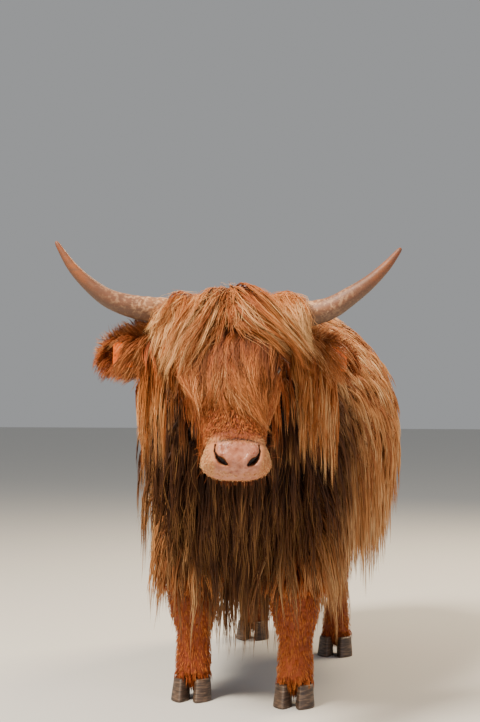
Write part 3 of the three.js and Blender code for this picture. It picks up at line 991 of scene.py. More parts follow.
def claw_mesh(node, outward_sign):
    """Rings from the sole's middle out to its rim, up the wall and in over the top. The wall
    leans back by the level, swells near the sole and carries faint rings sin(70 * level)."""
    low, high = (np.array(corner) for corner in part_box(node))
    around = 40
    turn = np.arange(around)[None] / around * 2 * np.pi
    level = np.array([0, 0, 0, 0.006, 0.03, *np.linspace(0.07, 0.95, 26), 0.985, 1.0, 1.0])[:, None]
    size = np.array([0, 0.5, 0.93, 0.97, 1.0, *np.linspace(1.0, 0.84, 26), 0.80, 0.72, 0])[:, None]
    size = size * (1 + 0.006 * np.sin(70 * level) * step(0.05, 0.2, level))
    along, across = np.sin(turn), np.cos(turn)
    inner = np.minimum(0, across) * 0.5
    across = np.maximum(0, across) + inner
    slim = np.where(along < 0, 1 - 0.38 * along ** 2, 1 - 0.12 * along ** 2)
    depth, width, height = high[1] - low[1], high[0] - low[0], high[2] - low[2]
    near = low[0] if outward_sign > 0 else high[0]
    x = near + outward_sign * width * (0.34 + 0.64 * across * slim * size)
    y = low[1] + depth * (0.5 * (1 - 0.20 * (1 - level)) + 0.5 * along * size * 0.80
                          + 0.02 * level)
    grid = np.stack([x, y, low[2] + level * height + 0 * x], -1)
    return outward(new_mesh(node + "_horn", *closed_grid(grid)))


def dewclaw_mesh(node):
    """A blunt cone laid back in its solid's box: a loft whose radius is a quarter circle."""
    low, high = (np.array(corner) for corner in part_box(node))
    middle, half = (low + high) / 2, (high - low) / 2
    start = middle + half * (0, -0.75, 0.45)
    end = middle + half * (0, 0.85, -0.35)
    radius = half[0] * np.array([0.95, 0.98, 0.8, 0.55])
    rows = [(*(start + (end - start) * share), r, r, r)
            for share, r in zip((0, 0.3, 0.7, 1.0), radius)]
    grid = loft(rows, X_AXIS, 20, 16, ends=(0.1, 0.25))
    return outward(new_mesh(node + "_horn", *closed_grid(grid)))


def hoof_material():
    """Growth bands 4 mm high, which run 3 cm round the claw before they change."""
    material, tree = new_material("dull hoof horn", Roughness=0.55, IOR=1.54)
    place = add_node(tree, "TexCoord")
    drawn = add_node(tree, "Mapping", in_Vector=place, in_Scale=(1 / 0.03, 1 / 0.03, 1 / 0.004))
    bands = add_node(tree, "TexNoise", in_Vector=drawn, in_Scale=1.0, in_Detail=4.0)
    colour = add_node(tree, "ValToRGB", in_Fac=bands, stops=(
        (0.3, "#2b1f18"), (0.5, "#4a382b"), (0.66, "#6d5644"), (0.8, "#85705c")))
    relief = add_node(tree, "Bump", in_Height=bands, in_Strength=0.6, in_Distance=0.0015)
    return surface(material, Base_Color=colour, Normal=relief)


HOOF_FINISH = hoof_material()
for leg in FOOT_ALONG:
    sign = SIDES[leg.split("_")[1]]
    for where, outward_sign in (("outer", sign), ("inner", -sign)):
        node = f"{leg}_claw_{where}"
        add_piece(f"{leg}_hoof_{where}", claw_mesh(node, outward_sign), HOOF_FINISH, [node])
        node = f"{leg}_dewclaw_{where}"
        add_piece(f"{leg}_spur_{where}", dewclaw_mesh(node), HOOF_FINISH, [node])

# %% [markdown]
# The ear tags are plain panels of bendy orange plastic, blank, each on a stud through the ear
# with a round button in front.

# %% Ear tags
TAG_PLACE = np.array([0.280, -0.036, -0.128])
TAG_HALF = np.array([0.026, 0.0015, 0.032])
STUD_UP = 0.018


def tag_mesh(side):
    """A flat loft with rounded corners, of power 7, whose rows give its height and width as
    shares of its halves, with a button in front and a stud behind as small round lofts."""
    centre = TAG_PLACE * (SIDES[side], 1, 1)
    x, y, z = TAG_HALF
    panel = [(centre[0], centre[1], centre[2] + rise * z, x * wide, y, y, 7.0)
             for rise, wide in ((1, 0.55), (0.93, 0.86), (0.8, 0.99), (0, 1), (-0.8, 1),
                                (-0.94, 0.97), (-1, 0.8))]
    button, stud = ([(centre[0], centre[1] + back, centre[2] + STUD_UP, r, r, r)
                     for back, r in rows] for rows in (
        ((-0.0042, 0.009), (-0.003, 0.0105), (0.001, 0.0105)),
        ((0.0, 0.0045), (0.03, 0.0045), (0.052, 0.0048), (0.056, 0.0048))))
    grids = (loft(panel, X_AXIS, 48, 40, ends=(0.01, 0.01)),
             loft(button, X_AXIS, 32, 14, ends=(0.2, 0.1)),
             loft(stud, X_AXIS, 20, 20, ends=(0.04, 0.04)))
    return outward(joined(on_head(in_ear(grid, side)) for grid in grids))


def tag_material():
    """Grime in blots 12 mm across dulls the orange."""
    material, tree = new_material("moulded orange polyurethane", Roughness=0.5, IOR=1.4)
    place = add_node(tree, "TexCoord")
    grime = add_node(tree, "TexNoise", in_Vector=place, in_Scale=1 / 0.012, in_Detail=4.0)
    colour = add_node(tree, "ValToRGB", in_Fac=grime, stops=(
        (0.3, "#aa4802"), (0.5, "#e86400"), (0.7, "#f47604")))
    return surface(material, Base_Color=colour)


TAG_FINISH = tag_material()
tag_meshes = {side: tag_mesh(side) for side in SIDES}
for side, mesh in tag_meshes.items():
    add_piece("tag_panel_" + side, mesh, TAG_FINISH, ["ear_tag_" + side])

# %% [markdown]
# A lock of hair is a thin tapering solid of three sides. Tens of thousands of them are made
# together: guides are planted on the skin and combed forward step by step, each step turned
# along the lie of the coat and down by its own weight, and kept at its height in the coat.
# Each guide carries a tuft of locks that draw together towards its tip.

# %% Plant and comb
ROOT_DEPTH = 0.002
SKIN_GAP = 0.001
rest_points = [skin_points]
rest_normals = [skin_normals]
for mesh in (*horn_meshes.values(), *tag_meshes.values()):
    normals = normals_of(mesh)
    front = (normals @ HEAD_AXES)[:, 1] < 0.5
    rest_points.append(points_of(mesh)[front] - ORIGIN)
    rest_normals.append(normals[front])
rest_points = np.concatenate(rest_points)
rest_normals = np.concatenate(rest_normals)
rest_tree = KDTree(len(rest_points))
for index, place in enumerate(rest_points.tolist()):
    rest_tree.insert(place, index)
rest_tree.balance()
DOWN = np.array([0.0, 0.0, -1.0])


def nearest_rest(points):
    """The nearest point of the skin, horns and tags to each point, with its normal."""
    found = np.array([rest_tree.find(place)[1] for place in points.tolist()])
    return rest_points[found], rest_normals[found]


def curve_order(points):
    """An order that keeps neighbours close: by a code that takes the bits of x, y and z of
    each point's cell in turns, 10 bits of each."""
    cell = ((points - points.min(0)) / np.ptp(points, axis=0).max() * 1023).astype(np.int64)
    bit = np.arange(10)
    code = ((cell[..., None] >> bit & 1) << (3 * bit + np.arange(3)[:, None])).sum((1, 2))
    return np.argsort(code)


tri_order = curve_order(tri_middle)


def plant(draw, count, weight):
    """Roots spread evenly over the skin in step with area times weight: count even steps
    along the running total of the ordered triangles' shares, each jittered, then a random
    place in the face."""
    share = np.cumsum((tri_area * weight)[tri_order])
    at = (np.arange(count) + 0.2 + 0.6 * draw.random(count)) / count * share[-1]
    pick = tri_order[np.minimum(np.searchsorted(share, at), len(share) - 1)]
    r, q = np.sqrt(draw.random(count)), draw.random(count)
    mix = np.stack([1 - r, r * (1 - q), r * q], -1)[..., None]
    return ((corners[pick] * mix).sum(1), unit((skin_normals[skin_tris[pick]] * mix).sum(1)),
            tri_form[pick])


def comb(roots, normals, length, flow, lie, droop, glue, steps):
    """Walks each guide from its root. At share s of its length it heads along
    flow * (1 - droop * s) + down * droop * s, with flow laid along the skin as far as glue
    holds it, then is lifted to lie * (1 - exp(-5 s)) above the skin, or drawn down to it by
    glue where it stands higher."""
    at, normal = roots, normals
    path, ups = [roots - normals * ROOT_DEPTH], [normals]
    for k in range(steps):
        s = (k + 0.5) / steps
        along = flow(at, normal, s)
        rise = (along * normal).sum(-1)
        along = unit(along - normal * (rise * np.maximum(glue, rise < 0))[:, None])
        weight = np.clip(droop * (0.25 + s), 0, 1)[:, None]
        ahead = unit(along * (1 - weight) + DOWN * weight)
        at = at + ahead * (length / steps)[:, None]
        foot, near = nearest_rest(at)
        height = ((at - foot) * near).sum(-1)
        wanted = lie * (1 - np.exp(-5 * (s + 0.5 / steps))) + SKIN_GAP
        over = np.maximum(height - wanted, 0) * glue
        at = at + near * (np.maximum(wanted - height, 0) - over)[:, None]
        normal = unit(normal * 0.4 + near * 0.6)
        path.append(at)
        ups.append(normal)
    return np.stack(path, 1), np.stack(ups, 1)


print("rest points:", len(rest_points))

# %% [markdown]
# From the guides come the locks: each starts beside its guide's root, follows it while the
# tuft draws together, waves with the tuft and a little on its own, and tapers to nothing.
# A lock is three-sided, because thousands of them share the work of one smooth surface.

# %% Locks


def resampled(values, share):
    """Values on even steps of a path, read again at other shares of it, in a straight line
    between its steps."""
    steps = values.shape[1] - 1
    x = np.clip(share, 0, 1) * steps
    i = np.minimum(np.floor(x).astype(int), steps - 1)
    f = (x - i)[..., None]
    row = np.arange(len(values))[:, None]
    return values[row, i] * (1 - f) + values[row, i + 1] * f


def grow_locks(draw, path, ups, per, spread, gather, width, wave, wave_length, length,
               rings, layer=0.5, ragged=0.35, frizz=0.25):
    """Points of every lock: guide + its own offset * (1 - gather * s) + waves
    wave * sin(2 pi (s * length / wave_length + phase)), with a triangle of radius
    width / 2 * (0.75 + 0.25 sin(pi s)) * (1 - s ** 3) ** 0.8 about it, and one point at the tip."""
    guides = len(path)
    guide = np.repeat(np.arange(guides), per)
    count = len(guide)
    share = np.linspace(0, 1, rings + 1) * (1 - ragged * draw.random((count, 1)) ** 1.5)
    s = np.linspace(0, 1, rings + 1)[None, :, None]
    line = resampled(path[guide], share)
    up = unit(resampled(ups[guide], share))
    ahead = unit(np.gradient(line, axis=1))
    across = unit(np.cross(ahead, up))
    up = np.cross(across, ahead)
    angle = draw.random((count, 1, 1)) * 2 * np.pi
    far = np.sqrt(draw.random((count, 1, 1))) * spread[guide][:, None, None]
    draws = 1 - gather * s ** 0.8
    line = line + across * np.cos(angle) * far * draws + ahead * np.sin(angle) * far * (1 - s)
    line = line + up * (draw.random((count, 1, 1)) - 0.3) * layer * spread[guide][:, None, None] * s
    turns = s * (length[guide] / wave_length[guide])[:, None, None]
    phase = draw.random((guides, 1, 1))[guide]
    own = draw.random((count, 1, 1))
    size = wave[guide][:, None, None] * np.minimum(1, 3 * s)
    line = line + across * size * np.sin(2 * np.pi * (turns + phase))
    line = line + up * 0.4 * size * np.cos(2 * np.pi * (turns * 0.8 + phase))
    line = line + across * frizz * size * np.sin(2 * np.pi * (1.3 * turns + own))
    radius = 0.5 * width[guide] * (0.75 + 0.5 * draw.random(count))
    radius = radius[:, None, None] * (0.75 + 0.25 * np.sin(np.pi * s)) * (1 - s ** 3) ** 0.8
    corners_of = [line + radius * (across * np.cos(turn) + 0.7 * up * np.sin(turn))
                  for turn in np.array([0.5, 7 / 6, 11 / 6]) * np.pi]
    body = np.stack(corners_of, 2)[:, :-1]
    return body, line[:, -1], guide


print("triangles of a lock of seven rings:", 6 * 7 - 2)

# %% [markdown]
# Several lots of locks make one piece of the coat. Numbers travel with each point for the
# material: how far along the lock it is, the lock's own tone, and how much of each marking
# lies at its root. Every lock also gets its own patch of the map that bakes use, 0.003
# across, at its root's place on the unwrap of the skin's forms.

# %% A piece of coat
UV_PATCH = 0.003
# the third marking is mostly painted shade, and the lashes' own dark colour
MARKINGS = ("red", "gold", "dark", "cream")


def lock_faces(count, rings):
    """Quads between the triangles of a lock, three faces at its tip and one at its root."""
    per = rings * 3 + 1
    base = (np.arange(count) * per)[:, None, None]
    ring = (np.arange(rings - 1) * 3)[None, :, None]
    corner = np.arange(3)
    after = (corner + 1) % 3
    quads = [base + ring + corner, base + ring + 3 + corner, base + ring + 3 + after,
             base + ring + after]
    last = (rings - 1) * 3
    tip = np.stack(np.broadcast_arrays(base[:, 0] + last + after, base[:, 0] + last + corner,
                                       base[:, 0] + rings * 3), -1)
    root = base[:, 0] + corner
    return [np.stack(quads, -1).reshape(-1, 4), tip.reshape(-1, 3), root]


def add_coat(name, material, parts):
    """One piece from several lots of locks, with its attributes and its OFBake places."""
    points, faces, marks, places, base = [], [[], [], []], [], [], 0
    for body, tips, root_marks in parts:
        count, rings = body.shape[:2]
        everything = np.concatenate([body.reshape(count, -1, 3), tips[:, None]], 1)
        points.append(everything.reshape(-1, 3))
        for kind, found in zip(faces, lock_faces(count, rings)):
            kind.append(found + base)
        base += count * (rings * 3 + 1)
        along = np.concatenate([np.repeat(np.arange(rings) / rings, 3), [1.0]])
        side = np.concatenate([np.tile([0.0, 1.0, 0.5], rings), [0.5]])
        shown = root_marks["start"] + (1 - root_marks["start"]) * along
        marks.append(np.stack([np.tile(shown, count)] + [np.repeat(values, len(along))
                                                         for values in root_marks["marks"]], -1))
        patch = np.stack([along, side], -1) * UV_PATCH
        places.append((root_marks["unwrap"][:, None] + patch[None]).reshape(-1, 2))
    points, marks, places = (np.concatenate(kind) for kind in (points, marks, places))
    mesh = new_mesh(name, points + ORIGIN, [np.concatenate(kind) for kind in faces])
    for attribute, values in zip(("along", "tone", *MARKINGS), marks.T):
        give(mesh, attribute, values)
    loops = np.empty(len(mesh.loops), np.int32)
    mesh.loops.foreach_get("vertex_index", loops)
    unwrap = mesh.uv_layers.new(name="OFBake")
    unwrap.data.foreach_set("uv", np.clip(places[loops], 0, 1).astype(np.float32).ravel())
    outward(mesh)
    piece = add_piece(name, mesh, material)
    print("   ", len(triangles_of(mesh)), "triangles")
    return piece


print("markings:", MARKINGS, "OFBake patch:", UV_PATCH)

# %% [markdown]
# The hair itself is keratin over a darker underwool: dry, a little glossy, darker and redder
# at the root and bleached towards the tip. One node tree serves skin and coat, so that both
# carry the same markings: each lock reads its place from root to tip, its own tone, and
# four markings, which are how red, golden and creamy the coat is where it grows, and how much
# it is darkened, mostly with painted shade and, on the lashes, for their own dark hair.

# %% Hair finish
PALETTE = {
    "dusty": ((0.0, "#4a240e"), (0.35, "#985a2f"), (0.7, "#c28650"), (1.0, "#e8bc88")),
    "red": ((0.0, "#401606"), (0.35, "#7a3211"), (0.7, "#9e4a1c"), (1.0, "#c67636")),
    "gold": ((0.0, "#4e1e09"), (0.35, "#8c451a"), (0.7, "#bb7236"), (1.0, "#f0be84")),
    # the next ramp is painted shade for the chest, belly, forelock hollow and chin, and the lashes'
    # own dark
    "dark": ((0.0, "#120703"), (0.4, "#281207"), (0.75, "#46240f"), (1.0, "#7c532a")),
    "cream": ((0.0, "#8a4c26"), (0.35, "#ae6e42"), (0.7, "#c78d5c"), (1.0, "#e0b685")),
}


def hair_colour(tree, along):
    """Ramps from root to tip, mixed by the four markings, with broad patches of dust some
    15 cm across. A lock's tone shifts where it reads the ramps."""
    tone = add_node(tree, "Attribute", attribute_name="tone")
    shift = add_node(tree, "Math", in_0=tone, in_1=0.62, in_2=-0.31, operation="MULTIPLY_ADD")
    place = add_node(tree, "TexCoord")
    patches = add_node(tree, "TexNoise", in_Vector=place, in_Scale=1 / 0.15, in_Detail=2.0)
    dust = add_node(tree, "Math", in_0=patches, in_1=0.5, in_2=-0.25, operation="MULTIPLY_ADD")
    read = add_node(tree, "Math", in_0=along, in_1=shift, operation="ADD")
    read = add_node(tree, "Math", in_0=read, in_1=dust, operation="ADD", use_clamp=True)
    colour = add_node(tree, "ValToRGB", in_Fac=read, stops=PALETTE["dusty"])
    for marking in MARKINGS:
        amount = add_node(tree, "Attribute", attribute_name=marking)
        marked = add_node(tree, "ValToRGB", in_Fac=read, stops=PALETTE[marking])
        colour = add_node(tree, "Mix", in_0=amount, in_6=colour, in_7=marked, data_type="RGBA")
    return colour


def hair_material():
    material, tree = new_material(
        "dry keratin hair", Roughness=0.58, Sheen_Weight=0.05, Sheen_Roughness=0.4,
        Sheen_Tint=linear("#f0a050"), Specular_IOR_Level=0.22)
    along = add_node(tree, "Attribute", attribute_name="along")
    read = add_node(tree, "Math", in_0=along, in_1=0.62, in_2=0.26, operation="MULTIPLY_ADD")
    return surface(material, Base_Color=hair_colour(tree, read))


HAIR = hair_material()
print(HAIR.name)

# %% [markdown]
# The markings are worked out from place alone, so that skin and locks agree: the face, ears
# and lower legs are red-brown, the forelock, withers and long fringes golden, and the throat,
# chest and belly darkened with painted shade, for the shadow where the long hair keeps the
# light out.

# %% Markings


def markings(spot):
    """Red, gold, dark and cream at each spot, by steps in height, distance and facing. The
    dark on the throat, chest and belly is painted shade.
    """
    x, y, z, d, o, up = spot.x, spot.y, spot.z, spot.d, spot.o, spot.faces_up
    reach = np.linalg.norm(np.stack([spot.a, (d - 0.2) * 0.55, o + 0.02], -1), axis=-1)
    head = step(0.21, 0.15, reach)
    ear = (step(0.14, 0.19, spot.off) * step(-0.42, -0.30, spot.up_head)
           * step(0.02, -0.03, spot.up_head) * step(0.12, 0.06, np.abs(spot.ahead_head + 0.01)))
    legs = step(0.52, 0.36, z)
    # painted shade: throat, chest and lower neck darkened out to the sides, where long hair keeps
    # light out
    reach = 0.18 + 0.17 * step(0.50, 0.80, z)
    chest = (step(1.10, 0.86, z) * step(0.34, -0.06, y)
             * step(reach + 0.08, reach - 0.12, np.abs(x)) * step(0.36, 0.50, z)
             * step(0.75, 0.35, up))
    # painted shade on the belly where it faces down
    belly = step(0.58, 0.48, z) * step(0.10, 0.20, y) * step(0.20, -0.45, up)
    top = step(0.0, 0.8, up) * step(0.95, 1.1, z)
    red = np.clip(np.maximum(np.maximum(0.85 * head, 0.9 * ear), legs), 0, 1)
    gold = np.clip(0.45 * top * (1 - head), 0, 1)
    dark = np.clip(0.95 * chest + 0.7 * belly, 0, 0.95) * (1 - legs) * (1 - head) * (1 - ear)
    height = d * DOWN_FACE[2] + o * OUT_OF_FACE[2]
    cream = (step(0.400, 0.425, d) * step(-0.060, -0.045, o)
             * step(-0.330, -0.350, height - 0.2 * spot.off) * step(0.12, 0.10, spot.off))
    return red, gold, dark, cream


skin_marks = markings(skin_spot)
print("mean marking:", {name: values.mean().round(2) for name, values in zip(MARKINGS, skin_marks)})

# %% [markdown]
# Each lot of hair names where it is planted, how many tufts of how many locks, which way it
# lies, and its length, lift, droop and wave. What varies over the body is a function of the
# root's place. Long hair gets more rings, so that it can bend, and short hair few.

# %% A lot of hair
UNWRAP_MARGIN = 0.004
UNWRAP_SHARE = 0.985
UNWRAP_JITTER = 0.008


def lot(seed, where, tufts, per, flow, length, lie, droop, glue, rings, spread, gather=0.55,
        width=0.0045, wave=0.004, wave_length=0.22, ragged=0.35, frizz=0.5, more=(), tone=0.5,
        layer=0.5, start=0.0):
    """One lot of locks: plants, combs and grows them, and works out their marks and unwrap.
    more changes the markings at the roots by that much, in the order of MARKINGS, and start
    is where on the root-to-tip colours a lock begins, since short hair shows no dark root."""
    draw = np.random.default_rng(seed)
    roots, normals, form = plant(draw, tufts, where(tri_spot))
    spot = Spot(roots, normals, form)
    spot.chance = draw.random(len(roots))

    def asked(value):
        value = value(spot) if callable(value) else value
        return np.broadcast_to(np.asarray(value, float), (len(roots),))

    lengths = asked(length) * (0.75 + 0.4 * draw.random(len(roots)))
    lies = asked(lie) * (0.2 + 0.8 * draw.random(len(roots)))
    path, ups = comb(roots, normals, lengths, lambda at, n, s: flow(spot, at, n, s), lies,
                     asked(droop), asked(glue), rings)
    body, tips, guide = grow_locks(
        draw, path, ups, per, asked(spread), gather, asked(width), asked(wave),
        asked(wave_length), lengths, rings, layer, ragged, frizz)
    shade = np.clip(asked(tone)[guide] + 0.20 * draw.standard_normal(len(roots))[guide]
                    + 0.12 * draw.standard_normal(len(guide)), 0, 1)
    more = (*more, *np.zeros(len(MARKINGS) - len(more)))
    marks = [shade] + [np.clip(base + asked(extra), 0, 1)[guide]
                       for base, extra in zip(markings(spot), more)]
    unwrap = np.zeros((len(roots), 2))
    for name in np.unique(form):
        chosen = form == name
        along, turn, _ = on_form(str(name), roots[chosen])
        unwrap[chosen] = np.stack([along, turn], -1)
    jitter = (draw.random((len(guide), 2)) - 0.5) * UNWRAP_JITTER
    return body, tips, {"marks": marks, "start": start,
                        "unwrap": unwrap[guide] * UNWRAP_SHARE + UNWRAP_MARGIN + jitter}


def falling(spot, at, normal, s):
    """Down the body, and on the back towards the tail and away from its middle line."""
    top = np.clip(normal[:, 2], 0, 1)
    middle = step(0.10, 0.0, np.abs(at[:, 0])) * top
    sideways = np.tanh(at[:, 0] / 0.05 + 0.8 * (spot.chance - 0.5)) * (0.15 + 0.75 * top)
    return np.stack([sideways * (1 - 0.7 * middle), 0.22 + 0.35 * top + 0.6 * middle,
                     np.full(len(at), -1.0)], -1)


def down_leg(spot, at, normal, s):
    """Down the leg, a little outwards and back."""
    return np.stack([0.15 * normal[:, 0], 0.12 + 0.15 * normal[:, 1], np.full(len(at), -1.0)], -1)


# %% [markdown]
# The trunk and neck carry the long dusty outer coat. On the back it lies close and parts
# along the spine, where it is planted closer to hide the parting; on the flanks it falls in
# tufts like a curtain, and below the widest part of the barrel it hangs free. Thin loose
# wisps stray over the shoulders. The belly's fringe hangs straight down.

# %% Coat of the trunk and neck
BACK_FROM = 0.30


def body_length(spot):
    """From 12 cm on the back to 35 cm low on the flanks."""
    return 0.125 + 0.225 * step(1.0, 0.58, spot.z)


def body_lie(spot):
    """How high over the skin the coat lies: close on the back, most on the shoulders."""
    flank = step(0.9, 0.2, np.abs(spot.faces_up))
    shoulder = step(0.45, 0.20, spot.y) * step(0.95, 0.75, spot.z)
    return 0.024 + 0.040 * flank * (1 + 0.8 * shoulder)


def body_droop(spot):
    """Hair hangs the more, the more the skin faces down."""
    return 0.25 + 0.9 * step(0.4, -0.3, spot.faces_up)


def body_glue(spot):
    """The back's hair is held to it, and the flanks' hangs free."""
    return 0.9 * step(0.0, 0.45, spot.faces_up)


def behind_poll(spot):
    """The back of the head and the nape below it, between the horns."""
    return (spot.on("head", "neck") * step(-0.21, -0.09, spot.up_head) * (spot.up_head < 0.07)
            * step(0.03, -0.02, spot.o + 0.3 * spot.d) * step(0.14, 0.10, spot.off)
            * (1 + 3 * spot.on("head") * step(-0.09, -0.05, spot.up_head)))


def on_trunk(spot):
    """The trunk, with the tops of the legs that stand within it, and nothing of the ears,
    which hang level with the poll."""
    ear = (spot.off > 0.17) * (spot.ahead_head > -0.08)
    return (1 - ear) * np.maximum(spot.on("trunk"), spot.on(*FOOT_ALONG) * (spot.z > 0.88))


def ridge(spot):
    """More roots along the spine, where the coat parts and would show the skin."""
    return 1 + 1.3 * step(0.11, 0.03, np.abs(spot.x)) * step(0.3, 0.8, spot.faces_up)


def on_flank(spot):
    """The trunk behind the shoulders, down to where the belly's fringe begins."""
    return (on_trunk(spot) * (spot.y > BACK_FROM) * ridge(spot)
            * (0.95 + 0.2 * step(0.9, 0.4, spot.faces_up)) * step(-0.75, -0.45, spot.faces_up))


def on_shoulders(spot):
    return on_trunk(spot) * (spot.y <= BACK_FROM)


body_hair = dict(flow=falling, length=body_length, lie=body_lie, droop=body_droop,
                 glue=body_glue, rings=6, width=0.0048, wave=0.0048, wave_length=0.24,
                 gather=0.7)
coats = {
    "coat_flank_left": [lot(11, lambda spot: on_flank(spot) * (spot.x > 0), 825, 5,
                            spread=0.023, **body_hair)],
    "coat_flank_right": [lot(12, lambda spot: on_flank(spot) * (spot.x <= 0), 825, 5,
                             spread=0.023, **body_hair)],
    "coat_shoulders": [
        lot(13, lambda spot: on_shoulders(spot) * ridge(spot), 740, 5, spread=0.021, **body_hair),
        lot(17, lambda spot: on_shoulders(spot) * (spot.z > 0.6), 120, 4, spread=0.030,
            **{**body_hair, "width": 0.0022, "wave": 0.012, "gather": 0.2}, tone=0.75,
            start=0.2)],
    "coat_neck": [
        lot(14, lambda spot: spot.on("neck") * ridge(spot), 505, 5, spread=0.019,
            **{**body_hair, "length": 0.16}),
        lot(16, behind_poll, 230, 6, falling, length=0.12, lie=0.018, droop=0.3, glue=0.5,
            rings=5, spread=0.014, width=0.0042, wave=0.003, more=(-0.6, 0.3))],
    "coat_belly": [
        lot(15, lambda spot: spot.on("trunk") * step(0.1, -0.5, spot.faces_up)
            * step(0.70, 0.56, spot.z), 400, 5, falling, length=0.27, lie=0.02, droop=1.2,
            glue=0.0, rings=6, spread=0.020, width=0.0046, wave=0.008, wave_length=0.20)],
}
print({name: sum(len(body) for body, _, _ in parts) for name, parts in coats.items()})

# %% [markdown]
# The legs are long-haired down to the knee and hock, where the hair ends in a skirt. Below
# them it is short and close, with a little feather behind the cannon and over the hoof.

# %% Coat of the legs
KNEE = {"fore": 0.32, "hind": 0.45}


def leg_length(spot):
    """2 cm below the knee and hock, longer behind the cannon, long above, most outside."""
    fore = np.char.startswith(spot.form.astype(str), "fore")
    knee = np.where(fore, 0.32, 0.47)
    long_part = step(knee - 0.01, knee + 0.14, spot.z)
    behind = step(0.2, 0.9, spot.normals[:, 1]) * step(0.30, 0.24, spot.z)
    outer = step(0.0, 0.6, spot.normals[:, 0] * np.sign(spot.x)) * step(0.42, 0.55, spot.z)
    return 0.022 + 0.135 * long_part + 0.14 * outer + 0.035 * behind


def skirt_lie(spot):
    return np.clip(leg_length(spot) * 0.4, 0.004, 0.065)


def close_lie(spot):
    return 0.002 + 0.13 * leg_length(spot)


def leg_part(pair, low, high):
    """A way to ask for the part of a pair of legs above one height and up to another."""
    return lambda spot: spot.on(pair + "_left", pair + "_right") * (spot.z > low) * (spot.z < high)


for pair, seed in (("fore", 21), ("hind", 31)):
    knee, coronet = KNEE[pair], leg_part(pair, 0.045, 1.0)
    coats["coat_legs_" + pair] = [
        lot(seed, leg_part(pair, knee, 0.90), 460, 5, down_leg, leg_length, skirt_lie, droop=0.6,
            glue=0.3, rings=5, spread=0.015, width=0.0044, wave=0.004, wave_length=0.16,
            start=0.16, tone=0.60),
        lot(seed + 1, leg_part(pair, 0.0, knee + 0.02), 2250, 2, down_leg, leg_length, close_lie,
            droop=0.3, glue=0.7, rings=2, spread=0.008, width=0.0022, wave=0.0, gather=0.15,
            start=0.38, tone=0.70),
        lot(seed + 2, lambda spot: coronet(spot) * step(0.095, 0.080, spot.z), 260, 4, down_leg,
            length=0.040, lie=0.012, droop=0.5, glue=0.0, rings=3, spread=0.006, width=0.0024,
            wave=0.0, gather=0.2, start=0.3, tone=0.5)]
print({name: sum(len(body) for body, _, _ in coats["coat_legs_" + name]) for name in KNEE})

# %% [markdown]
# The forelock springs from a whorl between the horns and falls like a parted fringe. Its top
# layer runs out over the bases of the horns and drops past the eyes, parting in the middle
# over a hollow, and an under layer from the forehead waves down the face nearly to the nose.
# Strands drawn in the head's frame lead both, and a root follows the two whose fans
# lie either side of its own.

# %% Drawn strands
# fan, then across, ahead and up of a strand's start, middle and tip
TOP_STRANDS = [
    (-1.25, -0.125, 0.00, 0.036, -0.181, 0.035, 0.010, -0.223, 0.060, -0.045),
    (-1.0, -0.110, 0.00, 0.036, -0.172, 0.050, -0.018, -0.213, 0.085, -0.104),
    (-0.8, -0.090, 0.01, 0.039, -0.156, 0.070, -0.035, -0.199, 0.110, -0.154),
    (-0.6, -0.066, 0.02, 0.042, -0.129, 0.090, -0.039, -0.179, 0.140, -0.165),
    (-0.4, -0.045, 0.03, 0.045, -0.093, 0.110, -0.039, -0.159, 0.160, -0.180),
    (-0.2, -0.030, 0.03, 0.047, -0.057, 0.120, -0.038, -0.138, 0.180, -0.199),
    (-0.10, -0.022, 0.03, 0.044, -0.036, 0.125, -0.038, -0.068, 0.190, -0.120),
    (-0.04, -0.022, 0.03, 0.044, -0.024, 0.110, 0.000, -0.026, 0.150, -0.045),
    (0.04, -0.014, 0.03, 0.044, -0.012, 0.110, 0.000, -0.008, 0.150, -0.045),
    (0.10, -0.014, 0.03, 0.044, 0.000, 0.125, -0.037, 0.050, 0.190, -0.100),
    (0.2, -0.004, 0.03, 0.046, 0.031, 0.120, -0.031, 0.150, 0.170, -0.145),
    (0.4, 0.017, 0.03, 0.050, 0.078, 0.110, -0.010, 0.190, 0.150, -0.128),
    (0.6, 0.043, 0.02, 0.054, 0.114, 0.090, 0.008, 0.201, 0.120, -0.100),
    (0.8, 0.070, 0.01, 0.058, 0.136, 0.070, 0.024, 0.202, 0.100, -0.110),
    (1.0, 0.096, 0.00, 0.058, 0.158, 0.050, 0.030, 0.202, 0.085, -0.090),
    (1.25, 0.122, 0.00, 0.050, 0.168, 0.035, 0.026, 0.192, 0.060, -0.030),
]
# fan, then five points down the face, which sway to the right of the head and back
UNDER_STRANDS = [
    (-1.0, -0.057, 0.15, -0.100, -0.098, 0.17, -0.142, -0.150, 0.18, -0.179,
     -0.144, 0.20, -0.219, -0.115, 0.22, -0.248),
    (-0.5, -0.041, 0.15, -0.100, -0.060, 0.18, -0.145, -0.070, 0.21, -0.190,
     -0.080, 0.24, -0.240, -0.098, 0.27, -0.303),
    (0.0, -0.021, 0.15, -0.099, -0.052, 0.19, -0.152, -0.038, 0.22, -0.202,
     -0.004, 0.26, -0.261, 0.015, 0.28, -0.300),
    (0.4, 0.000, 0.15, -0.104, -0.027, 0.19, -0.161, -0.003, 0.23, -0.227,
     0.051, 0.27, -0.295, 0.090, 0.28, -0.322),
    (0.7, 0.015, 0.15, -0.104, 0.028, 0.19, -0.150, 0.046, 0.22, -0.195,
     0.062, 0.24, -0.240, 0.072, 0.28, -0.310),
    (1.0, 0.036, 0.15, -0.109, 0.062, 0.18, -0.145, 0.080, 0.19, -0.180,
     0.086, 0.21, -0.205, 0.080, 0.24, -0.265),
]


